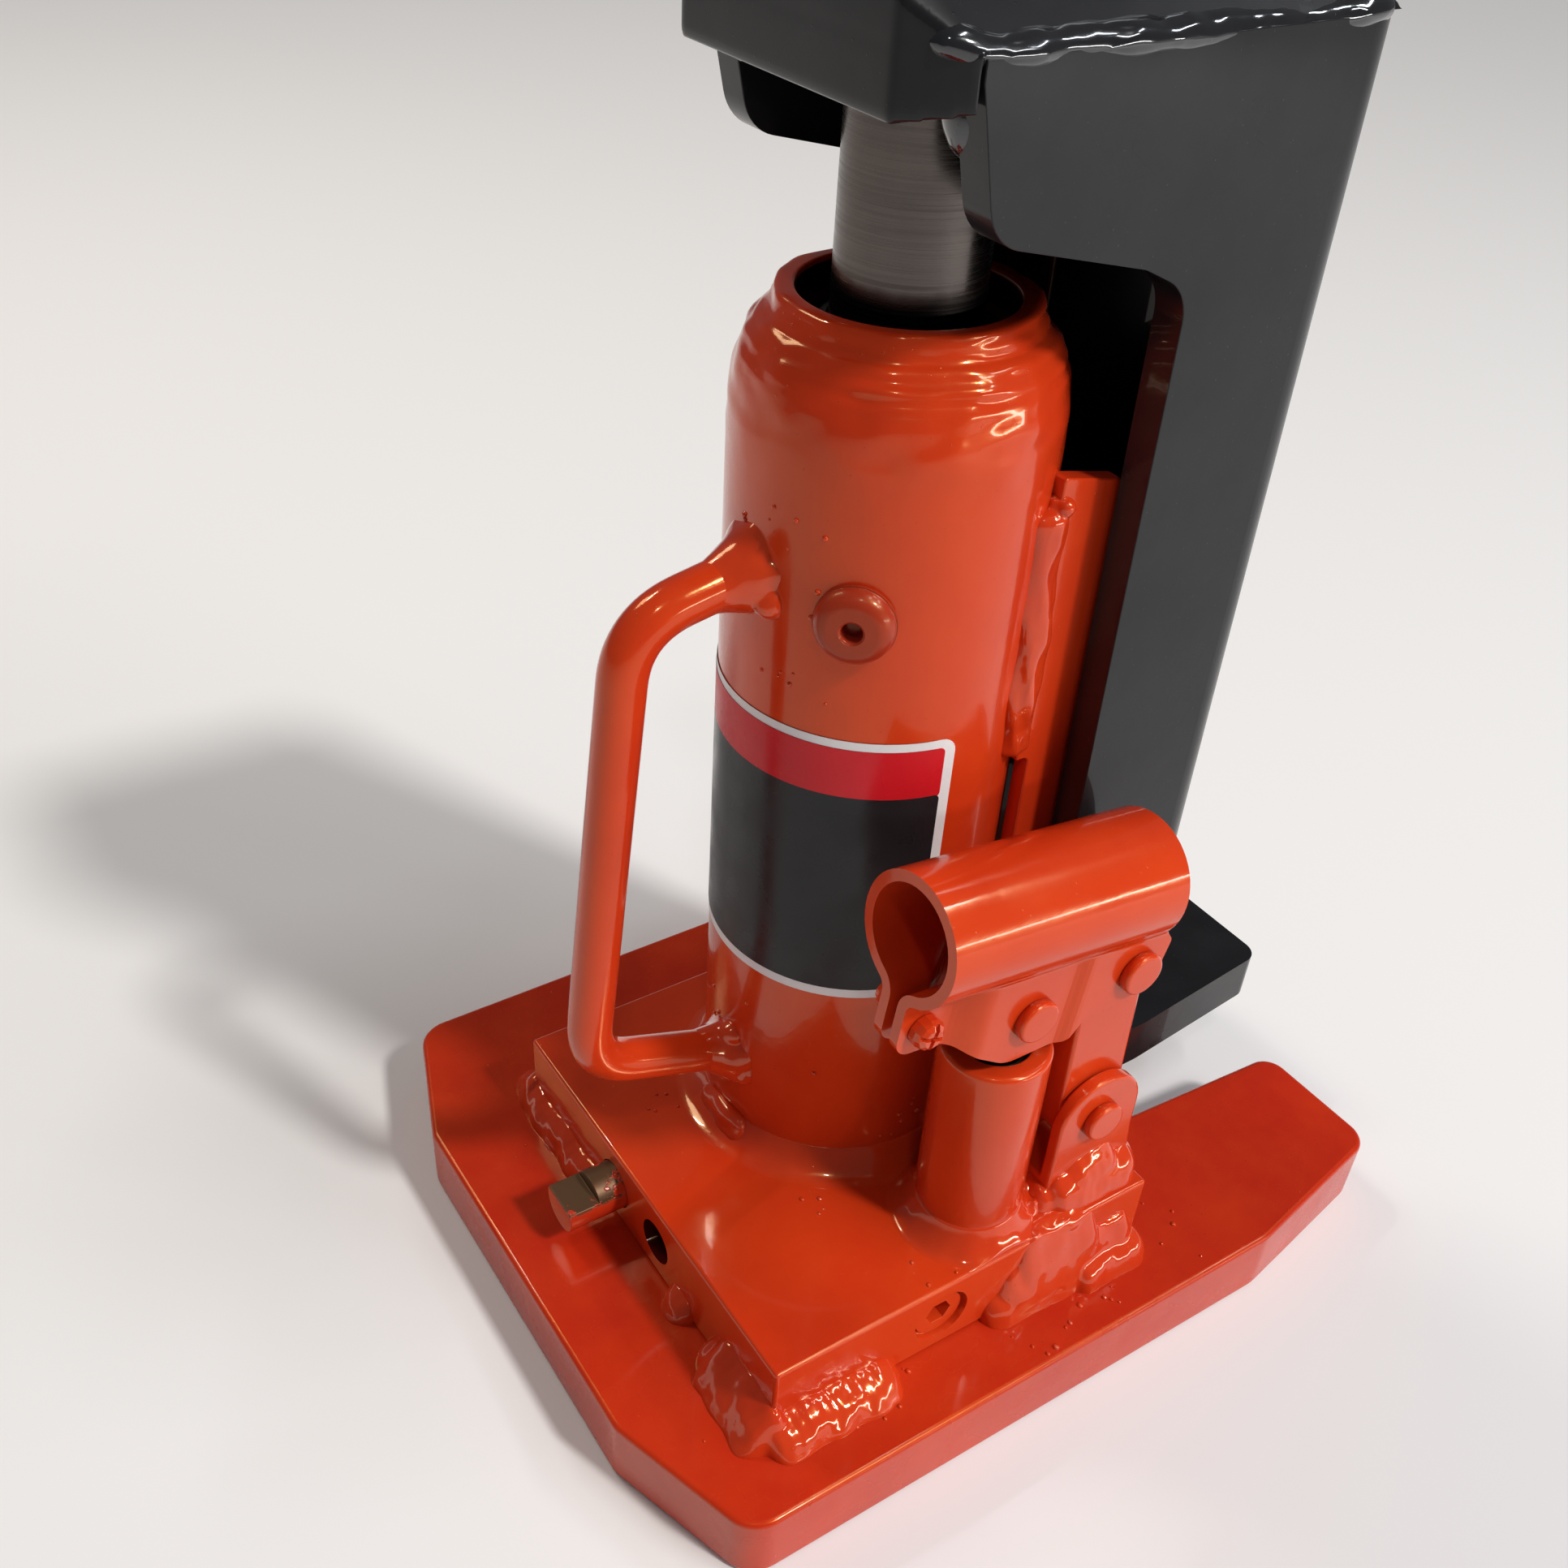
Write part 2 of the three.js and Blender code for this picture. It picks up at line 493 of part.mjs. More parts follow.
// The folded sheet socket, made along X with its tube's axis at the origin, then tilted and placed.
function handleSocket() {
  const { outer, bore, length, tilt } = SOCKET;
  const drop = THREE.MathUtils.degToRad(tilt);
  const toLocal = ({ x, z }) => {
    const dx = x - SOCKET.x;
    const dz = z - SOCKET.z;
    return [dx * Math.cos(drop) - dz * Math.sin(drop), dx * Math.sin(drop) + dz * Math.cos(drop)];
  };
  const crossHole = ([x, z], radius) => bar([x, -20, z], [x, 20, z], radius + GAP);
  const tube = bar([0, 0, 0], [length, 0, 0], outer, 28);
  const bend = [[-4, PINCH.front], [11, PINCH.front], [18, PINCH.middle], [40, PINCH.middle], [43, PINCH.rear],
    [length + 4, PINCH.rear]];
  const across = (extra) => [
    ...bend.map(([x, half]) => [x, half + extra, 0]),
    ...bend.map(([x, half]) => [x, -half - extra, 0]).reverse(),
  ];
  const gap = plate(across(0), -60, 0);
  const side = standingPlate(CHEEK_EDGE.map(([x, z, r]) => [...toLocal({ x, z }), r]), -20, 20);
  const web = plate(across(SHEET), -60, 0).intersect(side);
  const solid = cut(join(tube, web), bar([-10, 0, 0], [length + 10, 0, 0], bore, 28), gap,
    crossHole(toLocal(PIN_A), PIN_R), crossHole(toLocal(PIN_B), PIN_R),
    crossHole([CLAMP.x, CLAMP.z], CLAMP.shank));
  const frame = new THREE.Group();
  frame.position.set(SOCKET.x, PUMP.y, SOCKET.z);
  frame.rotation.y = drop;
  root.add(frame);
  piece('handle_socket', solid, orangePaint, frame);

  const face = PINCH.front + SHEET + GAP;
  const stud = (y0, y1, radius, sides) => bar([CLAMP.x, y0, CLAMP.z], [CLAMP.x, y1, CLAMP.z], radius, sides);
  const screw = join(stud(-face, -face - 3, CLAMP.head, 6), stud(-face - 0.1, face + 4.9, CLAMP.shank));
  const nut = cut(stud(face, face + 3.5, CLAMP.head, 6), stud(0, face + 6, CLAMP.shank + GAP));
  piece('clamp_screw', screw, orangePaint, frame);
  piece('clamp_nut', nut, orangePaint, frame);
}

function pins() {
  const list = [['plunger_pin', PIN_A, PINCH.middle + SHEET], ['link_upper_pin', PIN_B, PINCH.rear + SHEET],
    ['link_lower_pin', PIN_C, EAR.outer]];
  for (const [name, { x, z }, reach] of list) {
    const near = PUMP.y - reach - GAP;
    const far = PUMP.y + reach;
    const shank = bar([x, near - 0.1, z], [x, far + 2.2, z], PIN_R);
    const head = bar([x, near - 2.2, z], [x, near, z], 5.1, 16);
    const groove = cut(bar([x, far + 0.5, z], [x, far + 1.5, z], 6), bar([x, far, z], [x, far + 3, z], 3));
    piece(name, cut(join(shank, head), groove), orangePaint);
    const clip = cut(bar([x, far + 0.6, z], [x, far + 1.4, z], 5.2), bar([x, far, z], [x, far + 3, z], 3.2),
      box(x - 2, x + 2, far, far + 3, z, z + 9));
    piece(`${name}_clip`, clip, darkSteel);
  }
}

// ---------- valves ----------
function coil(from, to, radius, wire, turns) {
  class Helix extends THREE.Curve {
    getPoint(t, target = new THREE.Vector3()) {
      const a = 2 * Math.PI * turns * t;
      return target.set(radius * Math.cos(a), radius * Math.sin(a), t * (to - from));
    }
  }
  const section = new THREE.Shape().absarc(0, 0, wire, 0, 2 * Math.PI);
  const options = { steps: turns * 9, curveSegments: 2, extrudePath: new Helix() };
  return new THREE.ExtrudeGeometry(section, options);
}

function hexSocket(a, b, width) {
  return bar(a, b, width / Math.sqrt(3), 6);
}

function valves() {
  const { x, z } = GALLERY;
  const face = BLOCK.near + 1.2;
  piece('screw_plug', cut(bar([x, face, z], [x, face + 8.8, z], 6.4, 20),
    hexSocket([x, face - 1, z], [x, face + 5, z], 6)), orangePaint);
  piece('delivery_seat', cut(bar([x, GALLERY.seatY - 3, z], [x, GALLERY.seatY, z], GALLERY.r - GAP),
    bar([x, -60, z], [x, -30, z], 1.9, 16)), brass);
  piece('delivery_ball', ball(x, GALLERY.seatY + 3.3, z, 3), groundSteel);
  const spring = coil(0, 15.6, 2.7, 0.45, 6).rotateX(-Math.PI / 2).translate(x, GALLERY.seatY + 7.2, z);
  piece('delivery_spring', toSolid(spring), darkSteel);
  piece('suction_ball', ball(PUMP.x, PUMP.y, 29.3, 3), groundSteel);
}

function releaseValve() {
  const { y, z, r, end, seat } = VALVE;
  const shaft = cut(
    bar([end, y, z], [seat - 5.6, y, z], r, 20),
    box(end - 1, -67.5, y - 10, y + 10, z + 3.4, z + 10),
    cut(bar([-51.6, y, z], [-49.2, y, z], r + 1, 20), bar([-52, y, z], [-49, y, z], r - 1.6, 20)),
  );
  piece('release_valve', shaft, chippedPaint);
  const seal = new THREE.TorusGeometry(r - 0.75, 0.72, 6, 20).rotateY(Math.PI / 2).translate(-50.4, y, z);
  piece('release_seal', toSolid(seal), rubber);
  piece('release_ball', ball(seat - 2.8, y, z, 2.5), groundSteel);
}

function safetyValve() {
  const { y, z } = SAFETY;
  const screw = bar([-53, y, z], [-45, y, z], 4.7, 16);
  piece('safety_screw', cut(screw, hexSocket([-54, y, z], [-48.5, y, z], 4)), darkSteel);
  const spring = coil(0, 11.4, 2.1, 0.4, 5).rotateY(Math.PI / 2).translate(-44.1, y, z);
  piece('safety_spring', toSolid(spring), darkSteel);
  piece('safety_ball', ball(-29.5, y, z, 2.6), groundSteel);
}

basePlate();
baseBlock();
reservoir();
label();
pressureCylinder();
gland();
fillerPlug();
carryHandle();
guideBars();
ram();
clawArm();
clawHead();
toe();
pumpUnit();
linkLug();
link();
handleSocket();
pins();
valves();
releaseValve();
safetyValve();

export default root;
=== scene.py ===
"""A hydraulic toe jack in orange and black enamel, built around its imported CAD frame.

Shapes are built in millimetres and turned into metres by new_object. Places come from the CAD
nodes' boxes. Every solid that shows is rebuilt here with rounded edges and true curves. The weld
beads that hold the real jack together are laid along its joints, with the spatter they left.
"""
import json
import random
from math import atan2, ceil, cos, degrees, hypot, pi, radians, sin, sqrt, tan

import bmesh
import bpy
from mathutils import Matrix, Vector, noise


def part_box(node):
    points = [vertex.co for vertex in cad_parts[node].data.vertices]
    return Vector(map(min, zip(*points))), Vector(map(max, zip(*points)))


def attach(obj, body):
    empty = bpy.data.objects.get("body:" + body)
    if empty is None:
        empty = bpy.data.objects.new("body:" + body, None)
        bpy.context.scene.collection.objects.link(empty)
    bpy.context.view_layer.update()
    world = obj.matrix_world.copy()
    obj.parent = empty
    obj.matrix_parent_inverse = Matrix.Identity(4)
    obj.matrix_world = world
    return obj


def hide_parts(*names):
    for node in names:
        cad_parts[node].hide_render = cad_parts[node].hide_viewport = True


MM = 0.001
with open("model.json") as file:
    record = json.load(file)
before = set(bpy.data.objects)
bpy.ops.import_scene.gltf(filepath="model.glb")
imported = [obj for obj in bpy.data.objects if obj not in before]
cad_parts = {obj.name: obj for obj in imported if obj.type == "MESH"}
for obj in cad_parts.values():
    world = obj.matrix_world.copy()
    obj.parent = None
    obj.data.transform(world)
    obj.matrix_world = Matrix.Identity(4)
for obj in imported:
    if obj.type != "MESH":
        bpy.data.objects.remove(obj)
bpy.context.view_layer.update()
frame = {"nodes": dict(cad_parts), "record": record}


def box(node):
    """A CAD node's lowest and highest corners, in millimetres."""
    low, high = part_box(node)
    return low / MM, high / MM


def centre_of(low, high):
    """A box's middle, as plain numbers."""
    return [(a + b) / 2 for a, b in zip(low, high)]


PLATE = box("base_plate")
BLOCK = box("base_block")
TANK = box("reservoir_tank")
TANK_R = TANK[1].x
RAM = box("ram")
ARM = box("claw_arm")
HEAD = box("claw_head")
TOE = box("toe")
PUMP = box("pump_cylinder")
PUMP_X, PUMP_Y, _ = centre_of(*PUMP)
PUMP_R = (PUMP[1].x - PUMP[0].x) / 2
VALVE = box("release_valve")
SCREW = box("screw_plug")
LUG = box("link_lug")


# ---------- mesh tools ----------
def wobble(x, y, z):
    """Smooth noise at a place, from about -1 to 1."""
    return noise.noise(Vector((x, y, z)))


def link_object(name, data):
    obj = bpy.data.objects.new(name, data)
    bpy.context.scene.collection.objects.link(obj)
    return obj


def object_from(name, work):
    """An object for a bmesh, which is freed."""
    mesh = bpy.data.meshes.new(name)
    work.to_mesh(mesh)
    work.free()
    return link_object(name, mesh)


def new_object(name, points, faces):
    """A mesh object from points in millimetres, with its faces turned outwards."""
    mesh = bpy.data.meshes.new(name)
    mesh.from_pydata([Vector(p) * MM for p in points], [], faces)
    work = bmesh.new()
    work.from_mesh(mesh)
    bmesh.ops.recalc_face_normals(work, faces=work.faces)
    work.to_mesh(mesh)
    work.free()
    return link_object(name, mesh)


def bake(obj):
    """Applies the object's modifiers."""
    depsgraph = bpy.context.evaluated_depsgraph_get()
    mesh = bpy.data.meshes.new_from_object(obj.evaluated_get(depsgraph))
    obj.modifiers.clear()
    spent = obj.data
    obj.data = mesh
    bpy.data.meshes.remove(spent)
    return obj


def combine(obj, tools, operation):
    for tool in tools:
        step = obj.modifiers.new("combine", "BOOLEAN")
        step.operation = operation
        step.object = tool
        step.solver = "EXACT"
        bake(obj)
        bpy.data.objects.remove(tool)
    return obj


def cut(obj, *tools):
    return combine(obj, tools, "DIFFERENCE")


def join(obj, *tools):
    return combine(obj, tools, "UNION")


def keep_inside(obj, *tools):
    return combine(obj, tools, "INTERSECT")


def soften(obj, width, segments=3, angle=30):
    """Rounds every edge sharper than angle by width millimetres."""
    step = obj.modifiers.new("soften", "BEVEL")
    step.width = width * MM
    step.segments = segments
    step.limit_method = "ANGLE"
    step.angle_limit = radians(angle)
    step.miter_outer = "MITER_ARC"
    return bake(obj)


def remesh(obj, voxel, smooth):
    """Fuses overlapping shells into one skin with soft valleys."""
    step = obj.modifiers.new("fuse", "REMESH")
    step.mode = "VOXEL"
    step.voxel_size = voxel * MM
    settle = obj.modifiers.new("settle", "SMOOTH")
    settle.factor = 0.5
    settle.iterations = smooth
    return bake(obj)


def rounded(corners, arc_step=9):
    """Points of a closed outline whose corners, given as (x, y, radius), are true arcs."""
    points = []
    for i, (x, y, radius) in enumerate(corners):
        here = Vector((x, y))
        if radius <= 0:
            points.append(here)
            continue
        before = (Vector(corners[i - 1][:2]) - here).normalized()
        after = (Vector(corners[(i + 1) % len(corners)][:2]) - here).normalized()
        half = before.angle(after) / 2
        centre = here + (before + after).normalized() * (radius / sin(half))
        start = here + before * (radius / tan(half)) - centre
        end = here + after * (radius / tan(half)) - centre
        first = atan2(start.y, start.x)
        sweep = (atan2(end.y, end.x) - first + pi) % (2 * pi) - pi
        steps = max(2, ceil(abs(degrees(sweep)) / arc_step))
        for k in range(steps + 1):
            a = first + sweep * k / steps
            points.append(centre + radius * Vector((cos(a), sin(a))))
    return points


def prism(name, outline, low, high, axis="Z"):
    """An outline pushed along an axis: (x, y) along Z, (x, z) along Y or (y, z) along X."""
    spot = {
        "Z": lambda p, t: (p[0], p[1], t),
        "Y": lambda p, t: (p[0], t, p[1]),
        "X": lambda p, t: (t, p[0], p[1]),
    }[axis]
    count = len(outline)
    points = [spot(p, low) for p in outline] + [spot(p, high) for p in outline]
    faces = [tuple(range(count)), tuple(range(count, 2 * count))]
    faces += [(i, (i + 1) % count, count + (i + 1) % count, count + i) for i in range(count)]
    return new_object(name, points, faces)


def block(name, low, high):
    (x0, y0, z0), (x1, y1, z1) = low, high
    return prism(name, [(x0, y0), (x1, y0), (x1, y1), (x0, y1)], z0, z1)


def lathe(name, profile, origin=(0, 0, 0), axis=(0, 0, 1), sides=96):
    """A turned piece. Its profile of (radius, height) ends on the axis, or closes on itself."""
    rotation = Vector((0, 0, 1)).rotation_difference(Vector(axis)).to_matrix().to_4x4()
    carry = Matrix.Translation(Vector(origin)) @ rotation
    points, rings = [], []
    for radius, height in profile:
        if radius <= 0:
            rings.append([len(points)])
            points.append(carry @ Vector((0, 0, height)))
            continue
        rings.append(list(range(len(points), len(points) + sides)))
        for k in range(sides):
            a = 2 * pi * k / sides
            points.append(carry @ Vector((radius * cos(a), radius * sin(a), height)))
    pairs = list(zip(rings, rings[1:]))
    if len(rings[0]) > 1 and len(rings[-1]) > 1:
        pairs.append((rings[-1], rings[0]))
    faces = []
    for low, high in pairs:
        for k in range(sides):
            n = (k + 1) % sides
            if len(low) == 1:
                faces.append((low[0], high[k], high[n]))
            elif len(high) == 1:
                faces.append((low[k], low[n], high[0]))
            else:
                faces.append((low[k], low[n], high[n], high[k]))
    return new_object(name, points, faces)


def rod(name, start, end, radius, sides=48):
    start, end = Vector(start), Vector(end)
    length = (end - start).length
    return lathe(name, [(0, 0), (radius, 0), (radius, length), (0, length)], start, end - start, sides)


def arc(cx, cy, radius, first, last, count):
    steps = [radians(first + (last - first) * i / count) for i in range(count + 1)]
    return [(cx + radius * cos(a), cy + radius * sin(a)) for a in steps]


def round_path(corners, reach, step):
    """Points along a polyline whose inner corners are rounded over reach on both sides."""
    bend_steps = 12
    stops = [Vector(c) for c in corners]
    points = [stops[0]]
    for before, here, after in zip(stops, stops[1:], stops[2:]):
        start = here + (before - here).normalized() * reach
        end = here + (after - here).normalized() * reach
        for i in range(bend_steps + 1):
            t = i / bend_steps
            points.append(start * (1 - t) ** 2 + here * (2 * t * (1 - t)) + end * t ** 2)
    points.append(stops[-1])
    return resample(points, step)


def resample(points, step):
    """Evenly spaced points along a polyline."""
    points = [Vector(p) for p in points]
    lengths = [0]
    for a, b in zip(points, points[1:]):
        lengths.append(lengths[-1] + (b - a).length)
    count = max(2, round(lengths[-1] / step))
    result, at = [], 0
    for i in range(count + 1):
        want = lengths[-1] * i / count
        while at < len(points) - 2 and lengths[at + 1] < want:
            at += 1
        span = lengths[at + 1] - lengths[at] or 1
        result.append(points[at].lerp(points[at + 1], (want - lengths[at]) / span))
    return result


def skin(rows, ring):
    """Faces for rows of points, ring points in each: quads between the rows and a cap at each end."""
    faces = []
    for low in range(0, (rows - 1) * ring, ring):
        for k in range(ring):
            n = (k + 1) % ring
            faces.append((low + k, low + n, low + ring + n, low + ring + k))
    return faces + [tuple(range(ring)), tuple(range((rows - 1) * ring, rows * ring))]


def tube(name, path, radius_at, sides, up=None):
    """A skin along a path; radius_at(i, angle) gives each point's (rise, spread) off the path."""
    points = []
    normal = up
    for i, here in enumerate(path):
        along = (path[min(i + 1, len(path) - 1)] - path[max(i - 1, 0)]).normalized()
        if normal is None:
            normal = along.orthogonal().normalized()
        normal = (normal - along * normal.dot(along)).normalized()
        across = along.cross(normal)
        for k in range(sides):
            a = 2 * pi * k / sides
            rise, spread = radius_at(i, a)
            points.append(here + rise * cos(a) * normal + spread * sin(a) * across)
    return new_object(name, points, skin(len(path), sides))


# ---------- materials ----------
class Shader:
    """A node material: its colour, bump and roughness are worked out in the row's metres."""

    def __init__(self, name):
        self.material = bpy.data.materials.new(name)
        self.material.use_nodes = True
        self.nodes = self.material.node_tree.nodes
        self.links = self.material.node_tree.links
        self.surface = self.nodes["Principled BSDF"]
        self.coords = self.nodes.new("ShaderNodeTexCoord").outputs["Object"]
        self.height = None

    def node(self, kind, **sockets):
        """A new node, with its sockets set to values or linked to other nodes."""
        node = self.nodes.new("ShaderNode" + kind)
        for name, value in sockets.items():
            socket = node.inputs[name.replace("_", " ")]
            if isinstance(value, bpy.types.NodeSocket):
                self.links.new(value, socket)
            else:
                socket.default_value = value
        return node

    def scaled(self, scale):
        return self.node("Mapping", Vector=self.coords, Scale=scale).outputs["Vector"]

    def noise(self, scale, detail=2.0, rough=0.5, stretch=(1, 1, 1), distortion=0.0):
        node = self.node("TexNoise", Scale=scale, Detail=detail, Roughness=rough, Distortion=distortion,
                         Vector=self.scaled(stretch))
        return node.outputs["Fac"]

    def specks(self, scale, size):
        """1 inside small round specks, 0 elsewhere."""
        cells = self.node("TexVoronoi", Scale=scale, Vector=self.scaled((1, 1, 1)))
        return self.ramp(cells.outputs["Distance"], size, size * 0.4)

    def ramp(self, value, low, high, start=0.0, end=1.0):
        node = self.node("MapRange", Value=value, From_Min=low, From_Max=high, To_Min=start, To_Max=end)
        return node.outputs["Result"]

    def times(self, a, b):
        node = self.nodes.new("ShaderNodeMath")
        node.operation = "MULTIPLY"
        self.links.new(a, node.inputs[0])
        self.links.new(b, node.inputs[1])
        return node.outputs[0]

    def mix(self, factor, first, second):
        node = self.nodes.new("ShaderNodeMix")
        node.data_type = "RGBA"
        self.links.new(factor, node.inputs["Factor"])
        for socket, colour in ((node.inputs["A"], first), (node.inputs["B"], second)):
            if isinstance(colour, tuple):
                socket.default_value = (*colour, 1)
            else:
                self.links.new(colour, socket)
        return node.outputs["Result"]

    def bump(self, value, depth):
        """Adds a height, depth millimetres from black to white."""
        node = self.node("Bump", Strength=1.0, Distance=depth * MM, Height=value)
        if self.height is not None:
            self.links.new(self.height, node.inputs["Normal"])
        self.height = node.outputs["Normal"]

    def colour(self, value):
        self.links.new(value, self.surface.inputs["Base Color"])

    def roughness(self, value):
        self.links.new(value, self.surface.inputs["Roughness"])

    def done(self, **settings):
        for socket, value in settings.items():
            self.surface.inputs[socket.replace("_", " ")].default_value = value
        if self.height is not None:
            self.links.new(self.height, self.surface.inputs["Normal"])
        return self.material


# Painted reflection colour: a warm tint on the gloss, so reflections of the white lamps and the pale floor
# read as if from warm surroundings.
REFLECTION_TINT_WARM = (0.95, 0.62, 0.24)
STAIN = (0.2, 0.17, 0.14)


def enamel(name, colour, thin, dust, *, peel=0.035, wave=0.12, gloss=0.16, shine=0.55, reflection_tint=REFLECTION_TINT_WARM,
           coat=0.3, coat_roughness=0.03):
    """Sprayed gloss enamel: cloudy film, orange peel, slow waves, sags and a little dust."""
    s = Shader(name)
    cloud = s.ramp(s.noise(26, 4, 0.6), 0.35, 0.7)
    grit = s.specks(420, 0.09)
    patchy = s.ramp(s.noise(9, 2), 0.5, 0.72)
    base = s.mix(cloud, colour, thin)
    s.colour(s.mix(s.times(grit, patchy), base, dust))
    s.roughness(s.ramp(s.noise(60, 3), 0.3, 0.75, gloss - 0.05, gloss + 0.09))
    s.bump(s.noise(75, 2, 0.5), wave)
    s.bump(s.noise(60, 1, 0.4, (1, 1, 0.3), 0.4), wave * 0.6)
    s.bump(s.noise(430, 2, 0.55), peel)
    s.bump(grit, 0.05)
    # The specular tint colours every reflection of the base layer: a painted reflection colour.
    return s.done(Coat_Weight=coat, Coat_Roughness=coat_roughness, Specular_IOR_Level=shine,
                  Specular_Tint=(*reflection_tint, 1))


def bare_steel(name, colour, scratch, along, roughness, depth=0.004):
    """Machined steel with fine lines and faint staining."""
    s = Shader(name)
    lines = s.noise(1, 3, 0.7, along)
    cloud = s.ramp(s.noise(30, 3, 0.6), 0.55, 0.8, 0, 0.35)
    s.colour(s.mix(cloud, s.mix(lines, colour, scratch), STAIN))
    s.roughness(s.ramp(lines, 0.25, 0.75, roughness - 0.08, roughness + 0.12))
    s.bump(lines, depth)
    s.bump(s.specks(160, 0.05), 0.02)
    return s.done(Metallic=1.0)


def moulded(name, colour, light, roughness=0.5, grain=600):
    s = Shader(name)
    s.colour(s.mix(s.ramp(s.noise(40, 3), 0.35, 0.7), colour, light))
    s.roughness(s.ramp(s.noise(90, 2), 0.3, 0.7, roughness - 0.08, roughness + 0.1))
    s.bump(s.noise(grain, 2), 0.02)
    s.bump(s.specks(260, 0.08), 0.03)
    return s.done(Specular_IOR_Level=0.25)


def chipped_enamel(name, paint, metal, height_at, fall):
    """Enamel worn through to brown bare steel above a height, with ragged edges."""
    s = Shader(name)
    split = s.node("SeparateXYZ", Vector=s.coords)
    high = s.ramp(split.outputs["Z"], height_at * MM, (height_at + fall) * MM)
    ragged = s.ramp(s.noise(170, 4, 0.7), 0.4, 0.46)
    bare = s.times(high, ragged)
    s.colour(s.mix(bare, s.mix(s.ramp(s.noise(26, 3), 0.35, 0.7), *paint), metal))
    s.roughness(s.ramp(bare, 0, 1, 0.26, 0.45))
    s.bump(bare, -0.12)
    s.bump(s.noise(430, 2), 0.03)
    s.links.new(s.ramp(bare, 0.2, 0.9, 0, 0.6), s.surface.inputs["Metallic"])
    return s.done()


ORANGE = (0.62, 0.047, 0.008)
ORANGE_THIN = (0.56, 0.033, 0.007)
RED_SHADE = (0.46, 0.016, 0.006)
BLACK = (0.007, 0.007, 0.008)
BLACK_THIN = (0.014, 0.014, 0.016)

orange = enamel("orange_enamel", ORANGE, ORANGE_THIN, (0.30, 0.02, 0.008))
# Painted shade: the plate's enamel is a darker, redder copy of the orange enamel, which dims its top faces.
plate_paint_shaded = enamel(
    "plate_enamel_shaded", ORANGE_THIN, RED_SHADE, (0.16, 0.012, 0.006), peel=0.04, wave=0.16, gloss=0.26,
    shine=0.5, reflection_tint=(0.95, 0.5, 0.12), coat=0.18, coat_roughness=0.06)
weld_paint = enamel(
    "weld_enamel", ORANGE, ORANGE_THIN, (0.25, 0.02, 0.008), peel=0.03, gloss=0.14, shine=0.5, coat=0.7,
    coat_roughness=0.02)
plug_paint = enamel(
    "oversprayed_rubber", (0.40, 0.036, 0.012), (0.30, 0.024, 0.010), (0.1, 0.01, 0.006), peel=0.06,
    wave=0.1, gloss=0.3, shine=0.4, coat=0.25, coat_roughness=0.12)
# Painted shade: a near-black red enamel that darkens the insides of the block's deep holes, where shade
# falls.
bore_shade_paint = enamel(
    "bore_painted_shade", (0.09, 0.006, 0.004), (0.05, 0.004, 0.003), (0.02, 0.003, 0.002), shine=0.15)
black = enamel(
    "black_enamel", BLACK, BLACK_THIN, (0.05, 0.05, 0.05), peel=0.012, wave=0.09, gloss=0.30, shine=0.1,
    reflection_tint=(1, 1, 1), coat=0.42)
# Its bluish gloss tint is a painted bluish reflection along the claw's welds.
black_weld_paint = enamel(
    "black_weld_enamel", BLACK, BLACK_THIN, (0.03, 0.03, 0.03), peel=0.01, wave=0.1, gloss=0.12, shine=0.5,
    reflection_tint=(0.9, 0.95, 1), coat=1.0, coat_roughness=0.02)
# Painted shade: the ram's ground steel gets a very dark colour in place of the dark surroundings that bright
# steel would reflect.
ground = bare_steel("ground_steel", (0.14, 0.12, 0.11), (0.09, 0.076, 0.07), (25, 25, 2600), 0.24, 0.003)
dark = bare_steel("dark_steel", (0.10, 0.10, 0.105), (0.05, 0.05, 0.052), (400, 400, 900), 0.38, 0.008)
brass = bare_steel("brass", (0.46, 0.28, 0.10), (0.38, 0.21, 0.07), (600, 600, 600), 0.32)
copper = bare_steel("copper", (0.58, 0.27, 0.14), (0.48, 0.20, 0.10), (500, 500, 500), 0.36)
rubber = moulded("rubber", (0.012, 0.012, 0.013), (0.03, 0.03, 0.03))
label_white = moulded("label_white", (0.80, 0.80, 0.80), (0.72, 0.72, 0.73), 0.3, 900)
label_red = moulded("label_red", (0.62, 0.012, 0.020), (0.55, 0.010, 0.016), 0.28, 900)
label_black = moulded("label_black", (0.012, 0.012, 0.014), (0.018, 0.018, 0.020), 0.26, 900)
worn_from = VALVE[1].z - 4.6
valve_paint = chipped_enamel("valve_enamel", (ORANGE, RED_SHADE), (0.12, 0.062, 0.028), worn_from, 1.0)
FINISHES = {
    "orange_enamel": orange, "black_enamel": black, "chipped_enamel": valve_paint, "ground_steel": ground,
    "dark_steel": dark, "brass": brass, "copper": copper, "rubber": rubber, "label_vinyl": label_black,
}


def place(obj, *nodes, body="root", slot="orange_enamel", paint=None):
    """Paints a piece, smooths it and hangs it on its body; nodes are what it stands for."""
    obj.data.materials.clear()
    obj.data.materials.append(paint or FINISHES[slot])
    obj.data.shade_smooth()
    for face in obj.data.polygons:
        face.use_smooth = len(face.vertices) <= 4
    settle = obj.modifiers.new("normals", "WEIGHTED_NORMAL")
    settle.keep_sharp = True
    bake(obj)
    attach(obj, body)
    if nodes:
        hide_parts(*nodes)
    return obj


# ---------- base ----------
def base_plate():
    low, high = PLATE
    side, tip_y = high.y, 76.5
    near = [  # x, y and corner radius
        (low.x, -49, 7), (-76.3, -side, 9), (76, -side, 14), (high.x, -tip_y, 7),
        (high.x, -40.6, 6), (50.5, -36.4, 9),
    ]
    far = [(x, -y, r) for x, y, r in reversed(near)]
    plate = prism("base_plate_body", rounded(near + far), low.z, high.z)
    soften(plate, 1.3, 4, 40)
    place(plate, "base_plate", paint=plate_paint_shaded)


